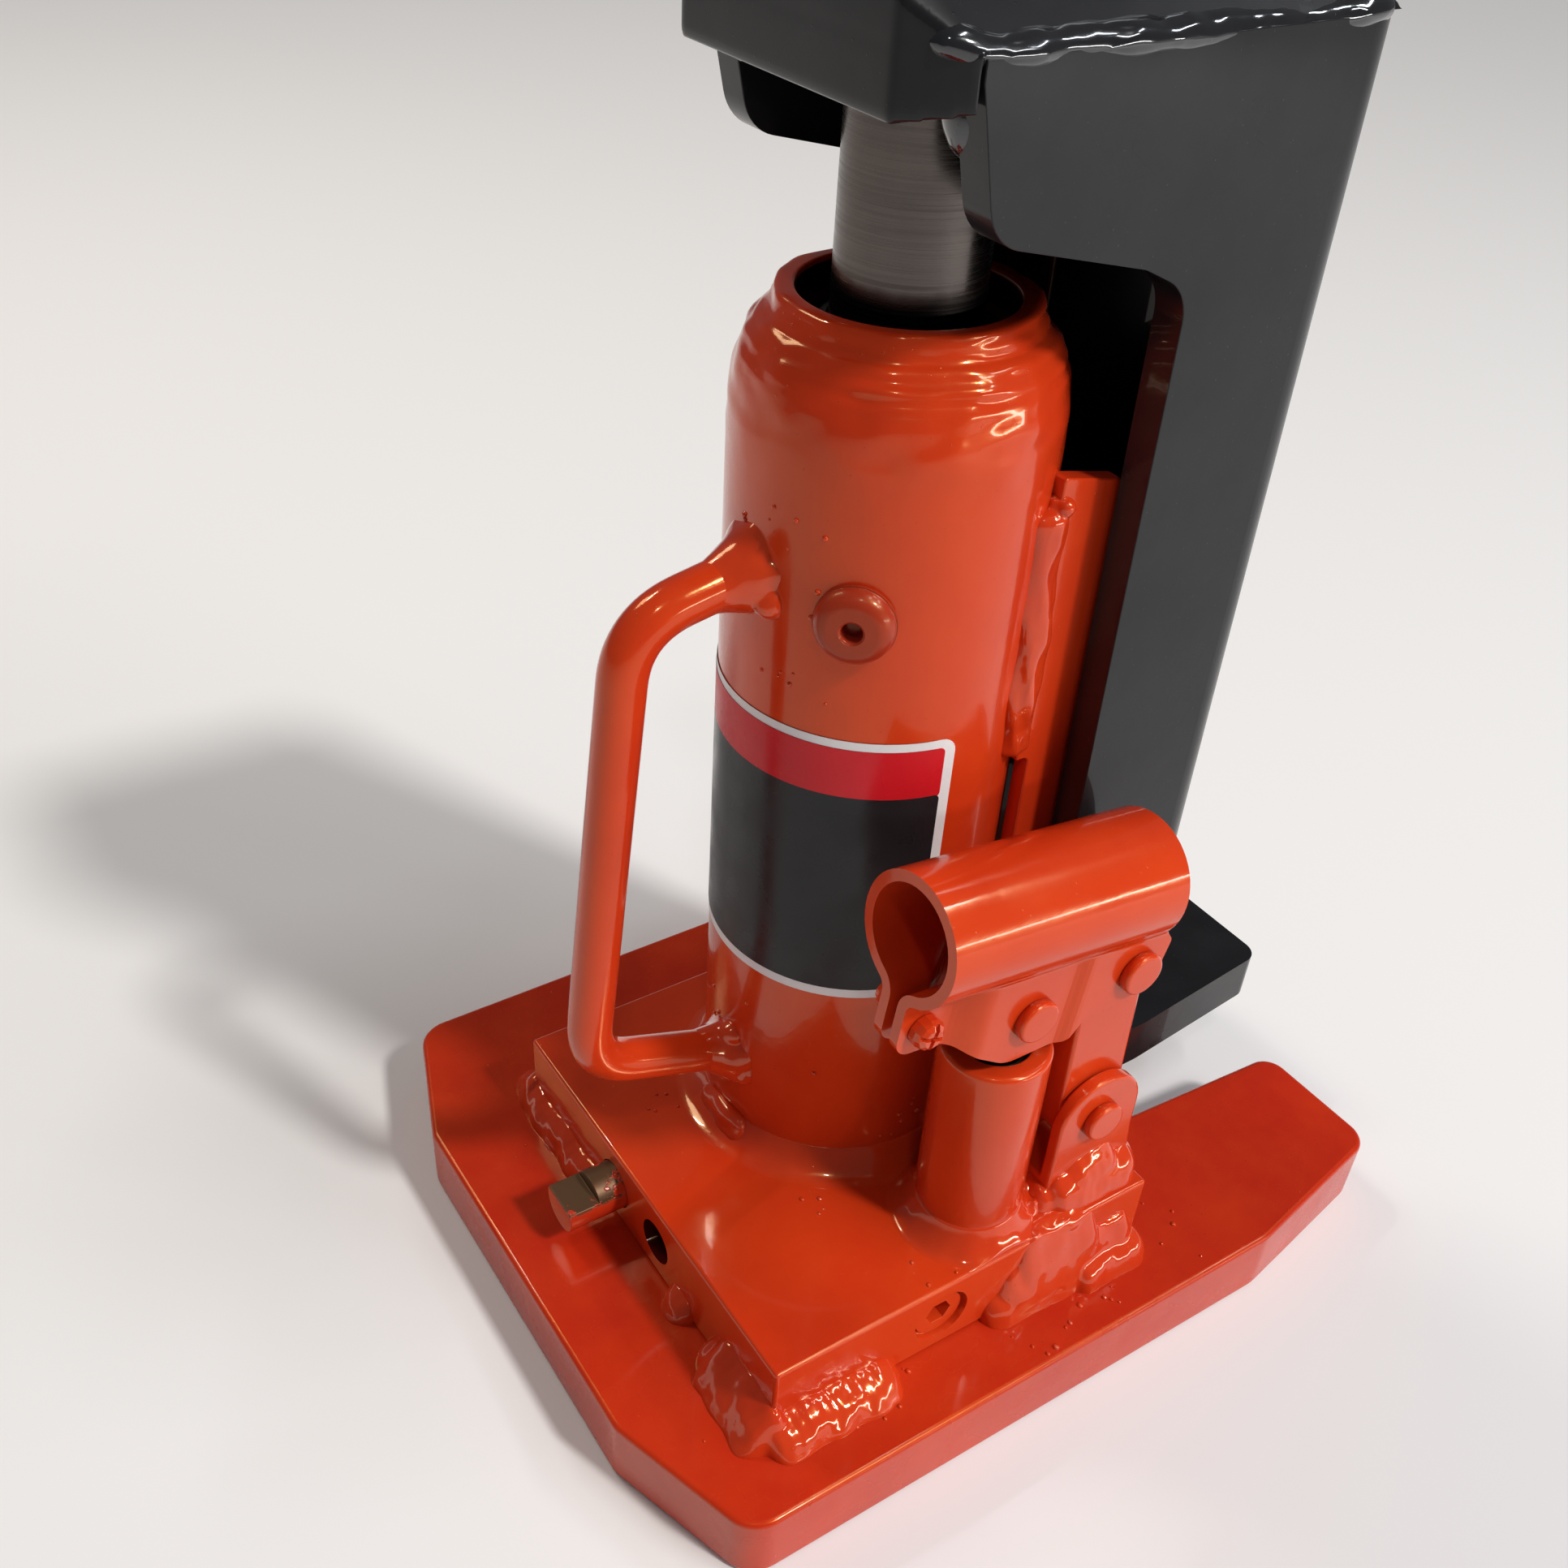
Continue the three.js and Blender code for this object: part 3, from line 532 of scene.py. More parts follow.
def base_block():
    low, high = BLOCK
    body = block("base_block_body", low, high)
    soften(body, 0.9, 3)
    x, _, z = centre_of(*SCREW)
    gallery = Vector((x, low.y, z))
    _, y, z = centre_of(*box("safety_screw"))
    safety = Vector((low.x, y, z))
    _, y, z = centre_of(*VALVE)
    valve = Vector((low.x, y, z))
    cut(
        body,
        rod("a", gallery - Vector((0, 1, 0)), gallery + Vector((0, 1.8, 0)), 7.4),
        rod("b", gallery, gallery + Vector((0, 12, 0)), 6.7),
        rod("c", safety - Vector((1, 0, 0)), safety + Vector((24, 0, 0)), 5.7),
        rod("d", valve - Vector((1, 0, 0)), valve + Vector((30, 0, 0)), 6.4),
        rod("e", (0, 0, 37.5), (0, 0, 50), 20.1, 64),
        rod("f", (PUMP_X, PUMP_Y, 33), (PUMP_X, PUMP_Y, 50), 9.1),
    )
    soften(body, 0.35, 2, 50)
    place(body, "base_block")
    # The deep bores of the safety screw and the release valve get the painted shade enamel.
    body.data.materials.append(bore_shade_paint)
    for face in body.data.polygons:
        middle = face.center / MM
        deep = low.x + 2.2 < middle.x < low.x + 60
        for hole, reach in ((safety, 5.9), (valve, 6.6)):
            if deep and hypot(middle.y - hole.y, middle.z - hole.z) < reach:
                face.material_index = 1


# ---------- reservoir ----------
def reservoir():
    foot, top = TANK[0].z, TANK[1].z
    shoulder_z, inward, upward = 218.5, 8.6, 18.2
    lip_radius, plain_below = 21.5, 150
    middle = TANK_R - inward
    # Up the outside, over the drawn-in shoulder and the crimped lip, and down the bore.
    profile = [(TANK_R, foot + 2 * i) for i in range(int((shoulder_z - foot) / 2))]
    profile += [(middle + inward * x, shoulder_z + upward * z) for x, z in arc(0, 0, 1, 0, 74, 24)]
    profile += [(25.1, 236.8), (24.8, 237.6), (24.5, 238.4)]
    profile += arc(22.9, top - 1.6, 1.6, 10, 95, 5)
    profile += [(21.2, top), *arc(21.1, top - 0.9, 0.9, 110, 180, 3), (20.3, 234.6)]
    profile += arc(19.3, 225, 9, 68, 0, 5) + [(TANK_R - 3.5, foot)]
    tank = lathe("tank_shell", profile, sides=240)
    for vertex in tank.data.vertices:
        p = vertex.co / MM
        out = hypot(p.x, p.y)
        if out < lip_radius or p.z < plain_below:
            continue
        angle = atan2(p.y, p.x)
        ridge = wobble(4 * cos(angle), 4 * sin(angle), p.z * 0.6)
        lump = wobble(p.x * 0.14, p.y * 0.14, p.z * 0.22 + 7)
        collar = smooth_step(p.z, 226, 231)
        crimp = sin(2.1 * p.z + 2.5 * sin(angle + 1)) * smooth_step(-sin(angle), -0.2, 0.9)
        push = 0.5 * lump * smooth_step(p.z, 206, 224) + (0.4 * ridge + 0.16 * crimp) * collar
        vertex.co += Vector((p.x / out, p.y / out, 0.25)) * push * MM
    place(tank, "reservoir_tank")
    # Painted shade: the bore inside the tank's lip gets the dark steel finish, which darkens it.
    tank.data.materials.append(dark)
    for face in tank.data.polygons:
        middle = face.center / MM
        if hypot(middle.x, middle.y) < 20.9 and middle.z < top - 0.9:
            face.material_index = 1


def mouth_parts():
    """The gland, wiper and ram that show in the tank's mouth."""
    low, high = box("gland_nut")
    gland = lathe("gland_face", [
        (14.4, low.z + 16), (19.8, low.z + 16), (19.8, high.z - 1), (18.8, high.z), (17, high.z),
        (17, high.z - 3), (14.4, high.z - 3),
    ])
    place(gland, "gland_nut", slot="dark_steel")
    wiper_low, wiper_high = box("ram_wiper")
    wiper = lathe("wiper_lip", [
        (14.35, wiper_low.z), (16.7, wiper_low.z), (16.7, high.z + 0.3),
        *arc(15.6, high.z + 0.4, 1.1, 0, 90, 4),
        (14.6, wiper_high.z), (14.35, wiper_high.z - 0.3),
    ])
    place(wiper, "ram_wiper", slot="rubber")
    ram_low, ram_high = RAM
    shaft = lathe("ram_rod", [
        (0, ram_low.z + 28.3), (13.4, ram_low.z + 28.3), (14, ram_low.z + 28.9), (14, ram_high.z - 1),
        (13, ram_high.z), (0, ram_high.z),
    ], sides=160)
    place(shaft, "ram", body="lift", slot="ground_steel")


def filler_plug():
    low, high = box("filler_plug")
    outward = Vector((cos(radians(225)), sin(radians(225)), 0))
    seat = outward * (TANK_R - 0.6) + Vector((0, 0, (low.z + high.z) / 2))
    dome = lathe("filler_dome", [
        (0, 0), (7.6, 0), (7.9, 0.5), (7.9, 1.3), *arc(4.4, 1.2, 3.4, 0, 84, 8), (2.5, 4.7),
        *arc(2.5, 4.2, 0.45, 90, 180, 3), (2.0, 1.6), (1.2, 1.2), (0, 1.1),
    ], seat, outward, 64)
    place(dome, "filler_plug", slot="rubber", paint=plug_paint)


def label():
    """A blank sticker round the tank: a white border, a red band and a black panel."""
    bottom, top, half, band = 96.5, 163.5, 86, 149.7
    sheets = [  # name, nodes, height off the tank, foot, top, half angle, corner radius, paint
        ("label_border", ["label"], 0.10, bottom, top, half, 3.2, label_white),
        ("label_band", [], 0.20, band, top - 1.9, half - 4.2, 1.2, label_red),
        ("label_panel", [], 0.21, bottom + 2.4, band + 0.6, half - 4.2, 1.2, label_black),
    ]
    for name, nodes, lift, z0, z1, spread, corner, paint in sheets:
        reach = radians(spread) * TANK_R
        corners = [(-reach, z0), (reach, z0), (reach, z1), (-reach, z1)]
        flat = rounded([(x, z, corner) for x, z in corners], 15)
        sheet = prism(name, flat, 0, 0.1)
        wrap(sheet, TANK_R + lift)
        place(sheet, *nodes, slot="label_vinyl", paint=paint)


def wrap(sheet, radius):
    """Bends a flat sheet, lying in X and Y with its thickness in Z, round the tank's -X side."""
    work = bmesh.new()
    work.from_mesh(sheet.data)
    edges = [p / 2 for p in range(-98, 99, 4)]
    for x in edges:
        geometry = work.verts[:] + work.edges[:] + work.faces[:]
        bmesh.ops.bisect_plane(work, geom=geometry, plane_co=(x * MM, 0, 0), plane_no=(1, 0, 0))
    for vertex in work.verts:
        along, height, depth = vertex.co / MM
        a = pi + along / TANK_R
        out = radius + depth
        vertex.co = Vector((out * cos(a), out * sin(a), height)) * MM
    bmesh.ops.recalc_face_normals(work, faces=work.faces)
    work.to_mesh(sheet.data)
    work.free()


def carry_handle():
    radius, bend = 5, 12
    corners = [(-29, 0, 192.5), (-57.5, 0, 187), (-68.5, 0, 78.5), (-29, 0, 64)]
    path = round_path(corners, bend, 1.2)
    grip = tube("grip_rod", path, lambda i, a: (radius, radius), 32)
    place(grip, "carry_handle")


def guide_bars():
    for name in ("near", "far"):
        low, high = box(f"guide_bar_{name}")
        corners = [(low.x, low.z), (high.x, low.z), (high.x, high.z - 3.3), (low.x, high.z)]
        outline = rounded([(x, z, 0.8) for x, z in corners], 30)
        strip = prism(f"guide_strip_{name}", outline, low.y, high.y, "Y")
        outside, inside = low.x - 4, low.x + 3.2
        relief = rounded([(outside, 106, 0), (inside, 106, 1.6), (inside, 149, 1.6), (outside, 149, 0)])
        cut(strip, prism("relief", relief, low.y - 1, high.y + 1, "Y"))
        soften(strip, 0.6)
        place(strip, f"guide_bar_{name}")


# ---------- claw ----------
def hull(name, points):
    work = bmesh.new()
    for p in points:
        work.verts.new(Vector(p) * MM)
    bmesh.ops.convex_hull(work, input=work.verts)
    bmesh.ops.dissolve_limit(work, angle_limit=radians(0.5), verts=work.verts, edges=work.edges)
    return object_from(name, work)


def both(x, y, z):
    return [(x, -y, z), (x, y, z)]


SIDES = ("near", -1), ("far", 1)
WALL = 7
HALF = ARM[1].y
HEAD_HALF = 29.5
SEAT = ARM[1].z
PAD_HALF, PAD_FOOT = 30.5, 294.5
TOE_TOP = 41.4


def claw_arm():
    low, high = ARM
    bend = 9
    outer = rounded([(-24, -HALF, 0), (high.x, -HALF, bend), (high.x, HALF, bend), (-24, HALF, 0)], 6)
    inner_half, inner_back = HALF - WALL, high.x - WALL
    inner = rounded([
        (-26, -inner_half, 0), (inner_back, -inner_half, bend - WALL + 1),
        (inner_back, inner_half, bend - WALL + 1), (-26, inner_half, 0),
    ], 12)
    arm = prism("claw_channel", outer, low.z, high.z)
    cut(arm, prism("inside", inner, low.z - 2, high.z + 2))
    side = prism("side", rounded([
        (-20.6, high.z + 1, 0), (-20.6, high.z - 3, 3), (-15.2, 260.6, 9), (18.5, 252.2, 5), (29.5, 247, 9),
        (29.5, 79, 10), (47, 70, 5), (47, 46.4, 3), (high.x + 1, 46.4, 0), (high.x + 1, high.z + 1, 0),
    ], 8), -HALF - 1, HALF + 1, "Y")
    join(side, block("wall", (52, -28.2, low.z), (high.x + 1, 28.2, 50)))
    keep_inside(arm, side)
    soften(arm, 0.9, 3, 35)
    place(arm, "claw_arm", body="lift", slot="black_enamel")


def claw_head():
    low, high = HEAD
    front, seat, top = low.x, SEAT + 0.2, high.z
    parts = [
        hull("cap", both(front, HEAD_HALF, seat) + both(-21, HALF, seat) + both(66, HALF, seat)
             + both(68.5, HALF - 6, seat) + both(front, HEAD_HALF, PAD_FOOT) + both(-26, PAD_HALF, PAD_FOOT)
             + both(61, PAD_HALF, PAD_FOOT)),
        hull("nose", both(front, HEAD_HALF, low.z) + both(-21, HALF, low.z + 2) + both(-21, 10, low.z)
             + both(front, HEAD_HALF, seat + 1) + both(-21, HALF, seat + 1)),
        block("core", (front, -HEAD_HALF, low.z), (30, HEAD_HALF, top)),
        block("lower", (-22, WALL - HALF + 0.3, low.z), (30, HALF - WALL - 0.3, seat + 1)),
    ]
    head = merge("claw_cap", parts)
    remesh(head, 0.75, 3)
    hole = [(0, 293), (10, 293), (10, top + 2), (0, top + 2)]
    cut(head, lathe("hole", hole, sides=64), grip_grooves(front, top))
    place(head, "claw_head", body="lift", slot="black_enamel")
    bolt = lathe("head_bolt_body", [
        (0, 279), (5.9, 279), (5.9, 294.3), (9.5, 294.3), (9.5, 300.9), (8.8, top - 1), (0, top - 1),
    ], sides=64)
    cut(bolt, lathe("hex", [(0, top - 6), (5.2, top - 6), (5.2, top + 1), (0, top + 1)], sides=6))
    soften(bolt, 0.3, 2, 40)
    place(bolt, "head_bolt", body="lift", slot="dark_steel")


def grip_grooves(front, top):
    """Shallow crossed V grooves over the head, as one cutter."""
    blades = []
    pitch, deep = 7.4, 1.3
    for i in range(7):
        at = (i - 3) * pitch
        vee = [(at - deep, top + 0.01), (at, top - deep), (at + deep, top + 0.01), (at, top + 3)]
        blades.append(prism("across", vee, -40, 40, "Y"))
        blades.append(prism("along", vee, front - 5, 40, "X"))
    cutter = blades[0]
    return join(cutter, *blades[1:])


def merge(name, objects):
    """Several objects' shells in one mesh."""
    work = bmesh.new()
    for obj in objects:
        work.from_mesh(obj.data)
        bpy.data.objects.remove(obj)
    return object_from(name, work)


def toe():
    low, high = TOE
    shelf = prism("toe_plate", rounded([
        (low.x, -28.5, 3), (82, -28.5, 30), (high.x, -24, 5), (high.x, 24, 5), (82, 28.5, 30),
        (low.x, 28.5, 3),
    ]), low.z, TOE_TOP)
    wall = ARM[1].x - WALL - 0.3
    upright = block("upright", (low.x, -27.5, TOE_TOP - 3), (wall, 27.5, high.z))
    join(shelf, upright)
    soften(shelf, 1.5, 4, 40)
    place(shelf, "toe", body="lift", slot="black_enamel")


# ---------- pump ----------
def pin_centre(node):
    low, high = box(node)
    return (low + high) / 2


PIN_A = pin_centre("plunger_pin")
PIN_B = pin_centre("link_upper_pin")
PIN_C = pin_centre("link_lower_pin")
LUG_REACH = 9.6


def pump_unit():
    foot, top = BLOCK[1].z + 0.3, PUMP[1].z
    at = (PUMP_X, PUMP_Y, 0)
    cylinder = lathe("pump_barrel", [
        (6.3, foot), (PUMP_R, foot), (PUMP_R, top - 1.3), *arc(PUMP_R - 1.3, top - 1.3, 1.3, 15, 90, 5),
        (8.4, top), *arc(8.3, top - 0.6, 0.6, 110, 180, 3), (7.7, 90), (6.3, 90),
    ], at, sides=96)
    place(cylinder, "pump_cylinder")
    low, high = box("pump_wiper")
    wiper = lathe("pump_wiper_lip", [
        (6.35, low.z), (7.5, low.z), (7.5, 94), *arc(6.9, 94, 0.6, 0, 90, 3), (6.35, high.z - 0.8),
    ], at, sides=64)
    place(wiper, "pump_wiper", slot="rubber")
    shaft = lathe("plunger_rod", [(0, 60), (5.9, 60), (6, 60.4), (6, 103), (0, 103)], at, sides=64)
    low, high = box("plunger")
    eye = prism("eye", rounded([
        (low.x, 100.5, 3), (high.x, 100.5, 3), (high.x, high.z, 8.6), (low.x, high.z, 8.6),
    ]), PUMP_Y - 6, PUMP_Y + 6, "Y")
    corners = [(PUMP_X - 6, 105.2), (PUMP_X + 6, 105.2), (PUMP_X + 6, 114.8), (PUMP_X - 6, 114.8)]
    slot = prism("slot", rounded([(x, z, 4.7) for x, z in corners]), PUMP_Y - 8, PUMP_Y + 8, "Y")
    join(shaft, eye)
    cut(shaft, slot)
    soften(shaft, 0.4, 2, 40)
    place(shaft, "plunger", body="plunger", slot="ground_steel")


def link_and_lug():
    thick = 5.8
    strap = prism("link_strap", rounded([
        (PIN_C.x - 9.2, PIN_C.z - 9.2, 9.1), (PIN_C.x + 9.2, PIN_C.z - 9.2, 9.1),
        (PIN_B.x + 9, PIN_B.z - 5, 6), (PIN_B.x + 5, PIN_B.z + 6, 4.9),
        (PIN_B.x - 5, PIN_B.z + 6, 4.9), (PIN_B.x - 9, PIN_B.z - 5, 6),
    ]), PUMP_Y - thick, PUMP_Y + thick, "Y")
    soften(strap, 0.9, 3, 40)
    place(strap, "link", body="link")
    low, high = LUG
    ear = rounded([
        (PIN_C.x - 12.4, low.z, 0), (PIN_C.x + 13.6, low.z, 0), (PIN_C.x + 12, PIN_C.z - 8, 6),
        (PIN_C.x + 12, PIN_C.z + 12, 11.9), (PIN_C.x - 12, PIN_C.z + 12, 11.9),
        (PIN_C.x - 12, PIN_C.z - 8, 6),
    ])
    lug = prism("lug_ears", ear, PUMP_Y - LUG_REACH, PUMP_Y + LUG_REACH, "Y")
    cut(lug, block("gap", (low.x - 3, PUMP_Y - 6.2, 49), (high.x + 3, PUMP_Y + 6.2, 90)))
    soften(lug, 0.8, 3, 40)
    place(lug, "link_lug")


# The handle socket: its mouth's place, its tilt in degrees, and its folded sheet, in millimetres.
SOCKET = {"x": -25.6, "z": 136.8, "tilt": 7, "radius": 13.9, "sheet": 2.5, "length": 61.4, "bend": 3}


def socket_local(x, z):
    """A place in the row's XZ plane, seen along the tube's own tilted axis."""
    drop = radians(SOCKET["tilt"])
    dx, dz = x - SOCKET["x"], z - SOCKET["z"]
    return dx * cos(drop) - dz * sin(drop), dx * sin(drop) + dz * cos(drop)


def socket_section(gap):
    """The folded sheet's section: two cheeks, each gap off the middle, bent out into a tube."""
    deep, steps = 40, 40
    radius, sheet, bend = SOCKET["radius"], SOCKET["sheet"], SOCKET["bend"]
    cy = gap + sheet + bend
    cz = -sqrt((radius + bend) ** 2 - cy ** 2)
    inward = degrees(atan2(-cz, -cy))
    first = degrees(atan2(cz, cy))

    def side(offset, crown_radius):
        half = [(offset, -deep), *arc(cy, cz, cy - offset, 180, inward, 6)]
        crown = arc(0, 0, crown_radius, first, 180 - first, steps)[1:-1]
        return half + crown + [(-y, z) for y, z in reversed(half)]

    outside = side(gap + sheet, radius)
    inside = side(gap, radius - sheet)
    return outside + inside[::-1]


def smooth_step(x, low, high):
    t = max(0.0, min(1.0, (x - low) / (high - low)))
    return t * t * (3 - 2 * t)


def handle_socket():
    stations = [-6 + 1.0 * i for i in range(75)]
    points = []
    for x in stations:
        gap = 1.3 + 5.1 * smooth_step(x, 10, 19) + 1.5 * smooth_step(x, 39.5, 43.5)
        points += [(x, y, z) for y, z in socket_section(gap)]
    sheet = new_object("socket_sheet", points, skin(len(stations), len(points) // len(stations)))
    hem = [
        (-29, 109.6, 4), (-15.5, 108.2, 4), (-2.8, 99.2, 9), (12.6, 99, 4),
        (16.8, 104.2, 3), (34.8, 104.2, 4), (38.2, 117, 2),
    ]
    side = [(0, 20, 0)] + [(*socket_local(x, z), r) for x, z, r in hem]
    side += [(SOCKET["length"], -7, 2), (SOCKET["length"], 20, 0)]
    keep_inside(sheet, prism("side", rounded(side), -20, 20, "Y"))
    soften(sheet, 0.5, 2, 40)
    turn = Matrix.Translation(Vector((SOCKET["x"], PUMP_Y, SOCKET["z"])) * MM)
    turn = turn @ Matrix.Rotation(radians(SOCKET["tilt"]), 4, "Y")
    sheet.data.transform(turn)
    place(sheet, "handle_socket", body="handle")


def pin(name, body, centre, reach):
    near, far = centre.y - reach, centre.y + reach
    head = near - 0.3
    profile = [
        (0, 0), (4.2, 0), *arc(4.3, 0.8, 0.8, -75, 0, 4), (5.1, 2.2), (3.5, 2.2), (3.5, far - head + 4.2),
        (3.1, far - head + 4.6), (0, far - head + 4.6),
    ]
    shank = lathe(f"{name}_body", profile, (centre.x, head - 2.2, centre.z), (0, 1, 0), 48)
    place(shank, name, body=body)
    section = [(3.2, 0), (5.2, 0), (5.2, 0.8), (3.2, 0.8)]
    clip = lathe(f"{name}_ring", section, (centre.x, far + 0.6, centre.z), (0, 1, 0), 40)
    notch = block("notch", (centre.x - 2, far - 1, centre.z), (centre.x + 2, far + 3, centre.z + 9))
    cut(clip, notch)
    soften(clip, 0.15, 2, 40)
    place(clip, f"{name}_clip", body=body, slot="dark_steel")


def pins():
    pin("plunger_pin", "handle", Vector((PIN_A.x, PUMP_Y, PIN_A.z)), 8.9)
    pin("link_upper_pin", "handle", Vector((PIN_B.x, PUMP_Y, PIN_B.z)), 10.4)
    pin("link_lower_pin", "root", Vector((PIN_C.x, PUMP_Y, PIN_C.z)), LUG_REACH)


def clamp_screw():
    low, high = box("clamp_screw")
    x, _, z = centre_of(low, high)
    head = lathe("clamp_head", [(0, -0.6), (2.2, -0.6), (3.2, 0.1), (3.7, 1.2), (3.7, 3.1), (0, 3.1)],
                 (x, low.y, z), (0, 1, 0), 12)
    for spin in (20, 110):
        slot = block("slot", (-3.2, -2, -0.5), (3.2, 0.4, 0.5))
        spun = Matrix.Rotation(radians(spin), 4, "Y")
        slot.data.transform(Matrix.Translation(Vector((x, low.y, z)) * MM) @ spun)
        cut(head, slot)
    shank = rod("shank", (x, low.y + 2, z), (x, high.y, z), 2.3, 24)
    join(head, shank)
    soften(head, 0.35, 2, 25)
    place(head, "clamp_screw", body="handle", paint=weld_paint)
    low, high = box("clamp_nut")
    nut = lathe("clamp_nut_body", [(2.6, 0), (3.7, 0), (3.7, 3.4), (2.6, 3.4)], (x, low.y, z), (0, 1, 0), 6)
    soften(nut, 0.35, 2, 25)
    place(nut, "clamp_nut", body="handle")


# ---------- valves ----------
def release_valve():
    low, high = VALVE
    _, y, z = centre_of(low, high)
    stem = rod("valve_stem", (low.x, y, z), (high.x - 14, y, z), (high.y - low.y) / 2, 64)
    cut(stem, block("notch", (low.x - 2, y - 9, z + 2.6), (low.x + 8, y + 9, z + 12)))
    soften(stem, 0.6, 3, 40)
    place(stem, "release_valve", body="valve", slot="chipped_enamel")


def screw_plug():
    low, high = SCREW
    x, _, z = centre_of(low, high)
    plug = rod("plug_body", (x, low.y, z), (x, high.y, z), 6.4, 64)
    hexagon = lathe("hex", [(0, 0), (3.46, 0), (3.46, 6), (0, 6)], (x, low.y - 1, z), (0, 1, 0), 6)
    cut(plug, hexagon)
    soften(plug, 0.5, 3, 40)
    place(plug, "screw_plug")


# ---------- welds ----------
def ball(centre, radius, squash=1.0, detail=2):
    work = bmesh.new()
    bmesh.ops.create_icosphere(work, subdivisions=detail, radius=radius * MM)
    bmesh.ops.scale(work, vec=(1, 1, squash), verts=work.verts)
    bmesh.ops.translate(work, vec=Vector(centre) * MM, verts=work.verts)
    return object_from("ball", work)


def drift(p):
    """Smooth noise with a direction. Blender's own noise_vector differs from one run to the next."""
    return Vector([noise.noise(p + Vector((shift, 0, 0))) for shift in (0, 31.4, 57.9)])


def run(path, rise, spread, seed, lump=0.22):
    """One welding pass: a flattened bead, a little boxy, that swells and wanders."""
    step, boxy, wander = 0.8, 0.2, 0.22
    points = resample(path, step)
    count = len(points)
    ends = max(1, int(spread / step))
    for i, p in enumerate(points):
        points[i] = p + drift(p * 0.07 + Vector((seed, 0, 0))) * spread * wander

    def radius_at(i, a):
        p = points[i]
        size = 1 + lump * noise.noise(p * 0.11 + Vector((seed * 1.7, 3, 2 * cos(a))))
        size /= (abs(cos(a)) + abs(sin(a))) ** boxy
        inset = min(i, count - 1 - i)
        if inset < ends:
            size *= sqrt(max(0.03, 1 - (1 - inset / ends) ** 2))
        return rise * size, spread * size

    reach = points[-1] - points[0]
    steep = abs(reach.z) > 0.8 * reach.length
    return tube("run", points, radius_at, 18, Vector((1, 0, 0) if steep else (0, 0, 1)))


def fillet(start, end, out, wide, tall, seed, crown=0.06, ripple=0.14):
    """A weld in the corner between a floor and a wall, wide along the floor and tall up the wall."""
    start, end, out = Vector(start), Vector(end), Vector(out)
    along = (end - start).normalized()
    count = max(4, int((end - start).length / 0.7))
    steps, taper, buried = 12, 5.0, -1.5
    points = []
    for i in range(count + 1):
        travel = (end - start).length * i / count
        inset = min(travel, (end - start).length - travel)
        close = sqrt(max(0.02, 1 - (1 - min(1.0, inset / taper)) ** 2))
        sway = 1 + 0.16 * wobble(travel * 0.12, seed, 0)
        w, h = wide * close * sway, tall * close * (2 - sway)
        centre = start + along * travel
        section = [(w, buried), (w + 0.1, 0)]
        for k in range(1, steps):
            t = k / steps
            lift = crown * sin(pi * t) * min(w, h) * 2
            drag = 2.5 * wobble(travel * 0.15, seed, 1)
            wave = sin(travel * 2.3 + 5 * abs(t - 0.5) + drag)
            rough = 0.55 * wobble(travel * 0.2, 2.5 * t, seed)
            lift += close * (ripple * wave * (0.4 + t) + rough)
            section.append((w * (1 - t) + lift * 0.7, h * t + lift * 0.7))
        section += [(0, h), (buried, h), (buried, buried)]
        points += [centre + out * x + Vector((0, 0, z)) for x, z in section]
    return new_object("fillet", points, skin(count + 1, len(section)))


def sprinkle(path, count, radius, spread, seed):
    """Lumps thrown along a path."""
    chance = random.Random(seed)
    points = resample(path, 1.0)
    lumps = []
    for _ in range(count):
        p = chance.choice(points)
        shift = Vector([chance.uniform(-spread, spread) for _ in range(3)])
        lumps.append(ball(p + shift, radius * chance.uniform(0.45, 1.15)))
    return lumps


def weld(name, body, shells, paint, slot, voxel, smooth, swell):
    """Fuses passes into one bead, then lets its frozen surface roll a little."""
    bead = merge(name, shells)
    remesh(bead, voxel, smooth)
    for vertex in bead.data.vertices:
        p = vertex.co / MM
        roll = noise.noise(p * 0.14) + 0.16 * noise.noise(p * 0.4)
        vertex.co += vertex.normal * roll * swell * MM
    place(bead, body=body, slot=slot, paint=paint)


def orange_weld(name, shells, voxel=0.6, smooth=8, swell=0.5):
    weld(name, "root", shells, weld_paint, "orange_enamel", voxel, smooth, swell)


def black_weld(name, shells, smooth, swell=0.5):
    weld(name, "lift", shells, black_weld_paint, "black_enamel", 0.7, smooth, swell)


def round_tank(z, radius, first, last):
    """Points round the tank's axis, from one angle to another."""
    return [(x, y, z) for x, y in arc(0, 0, radius, first, last, 12)]


def skirt(name, centre, inner, outer, height, seed, wander=0.9):
    """The hollow fillet that a weld leaves round a tube standing on a plate."""
    steps = 16
    profile = [(inner - 1.2, centre[2] - 0.8), (outer + 0.2, centre[2] - 0.8)]
    for k in range(steps + 1):
        t = 1 - k / steps
        profile.append((inner - 0.1 + (outer - inner) * t, centre[2] - 0.05 + height * (1 - t) ** 2.3))
    profile.append((inner - 1.2, centre[2] + height))
    ring = lathe(name, profile, (centre[0], centre[1], 0), sides=144)
    for vertex in ring.data.vertices:
        p = vertex.co / MM
        x, y, z = p.x - centre[0], p.y - centre[1], p.z - centre[2]
        out = hypot(x, y)
        if out < inner - 0.5:
            continue
        swell = wobble(x * 0.10 + seed, y * 0.10, 0)
        swell += 0.3 * wobble(x * 0.3, y * 0.3, seed)
        share = (out - inner) / (outer - inner)
        vertex.co += Vector((x / out, y / out, 0)) * swell * wander * share * MM
        if z > 0.2:
            vertex.co.z += swell * wander * 0.5 * (1 - share) * MM
        vertex.co.y = max(vertex.co.y, (BLOCK[0].y + 0.4) * MM)
    place(ring, paint=weld_paint)


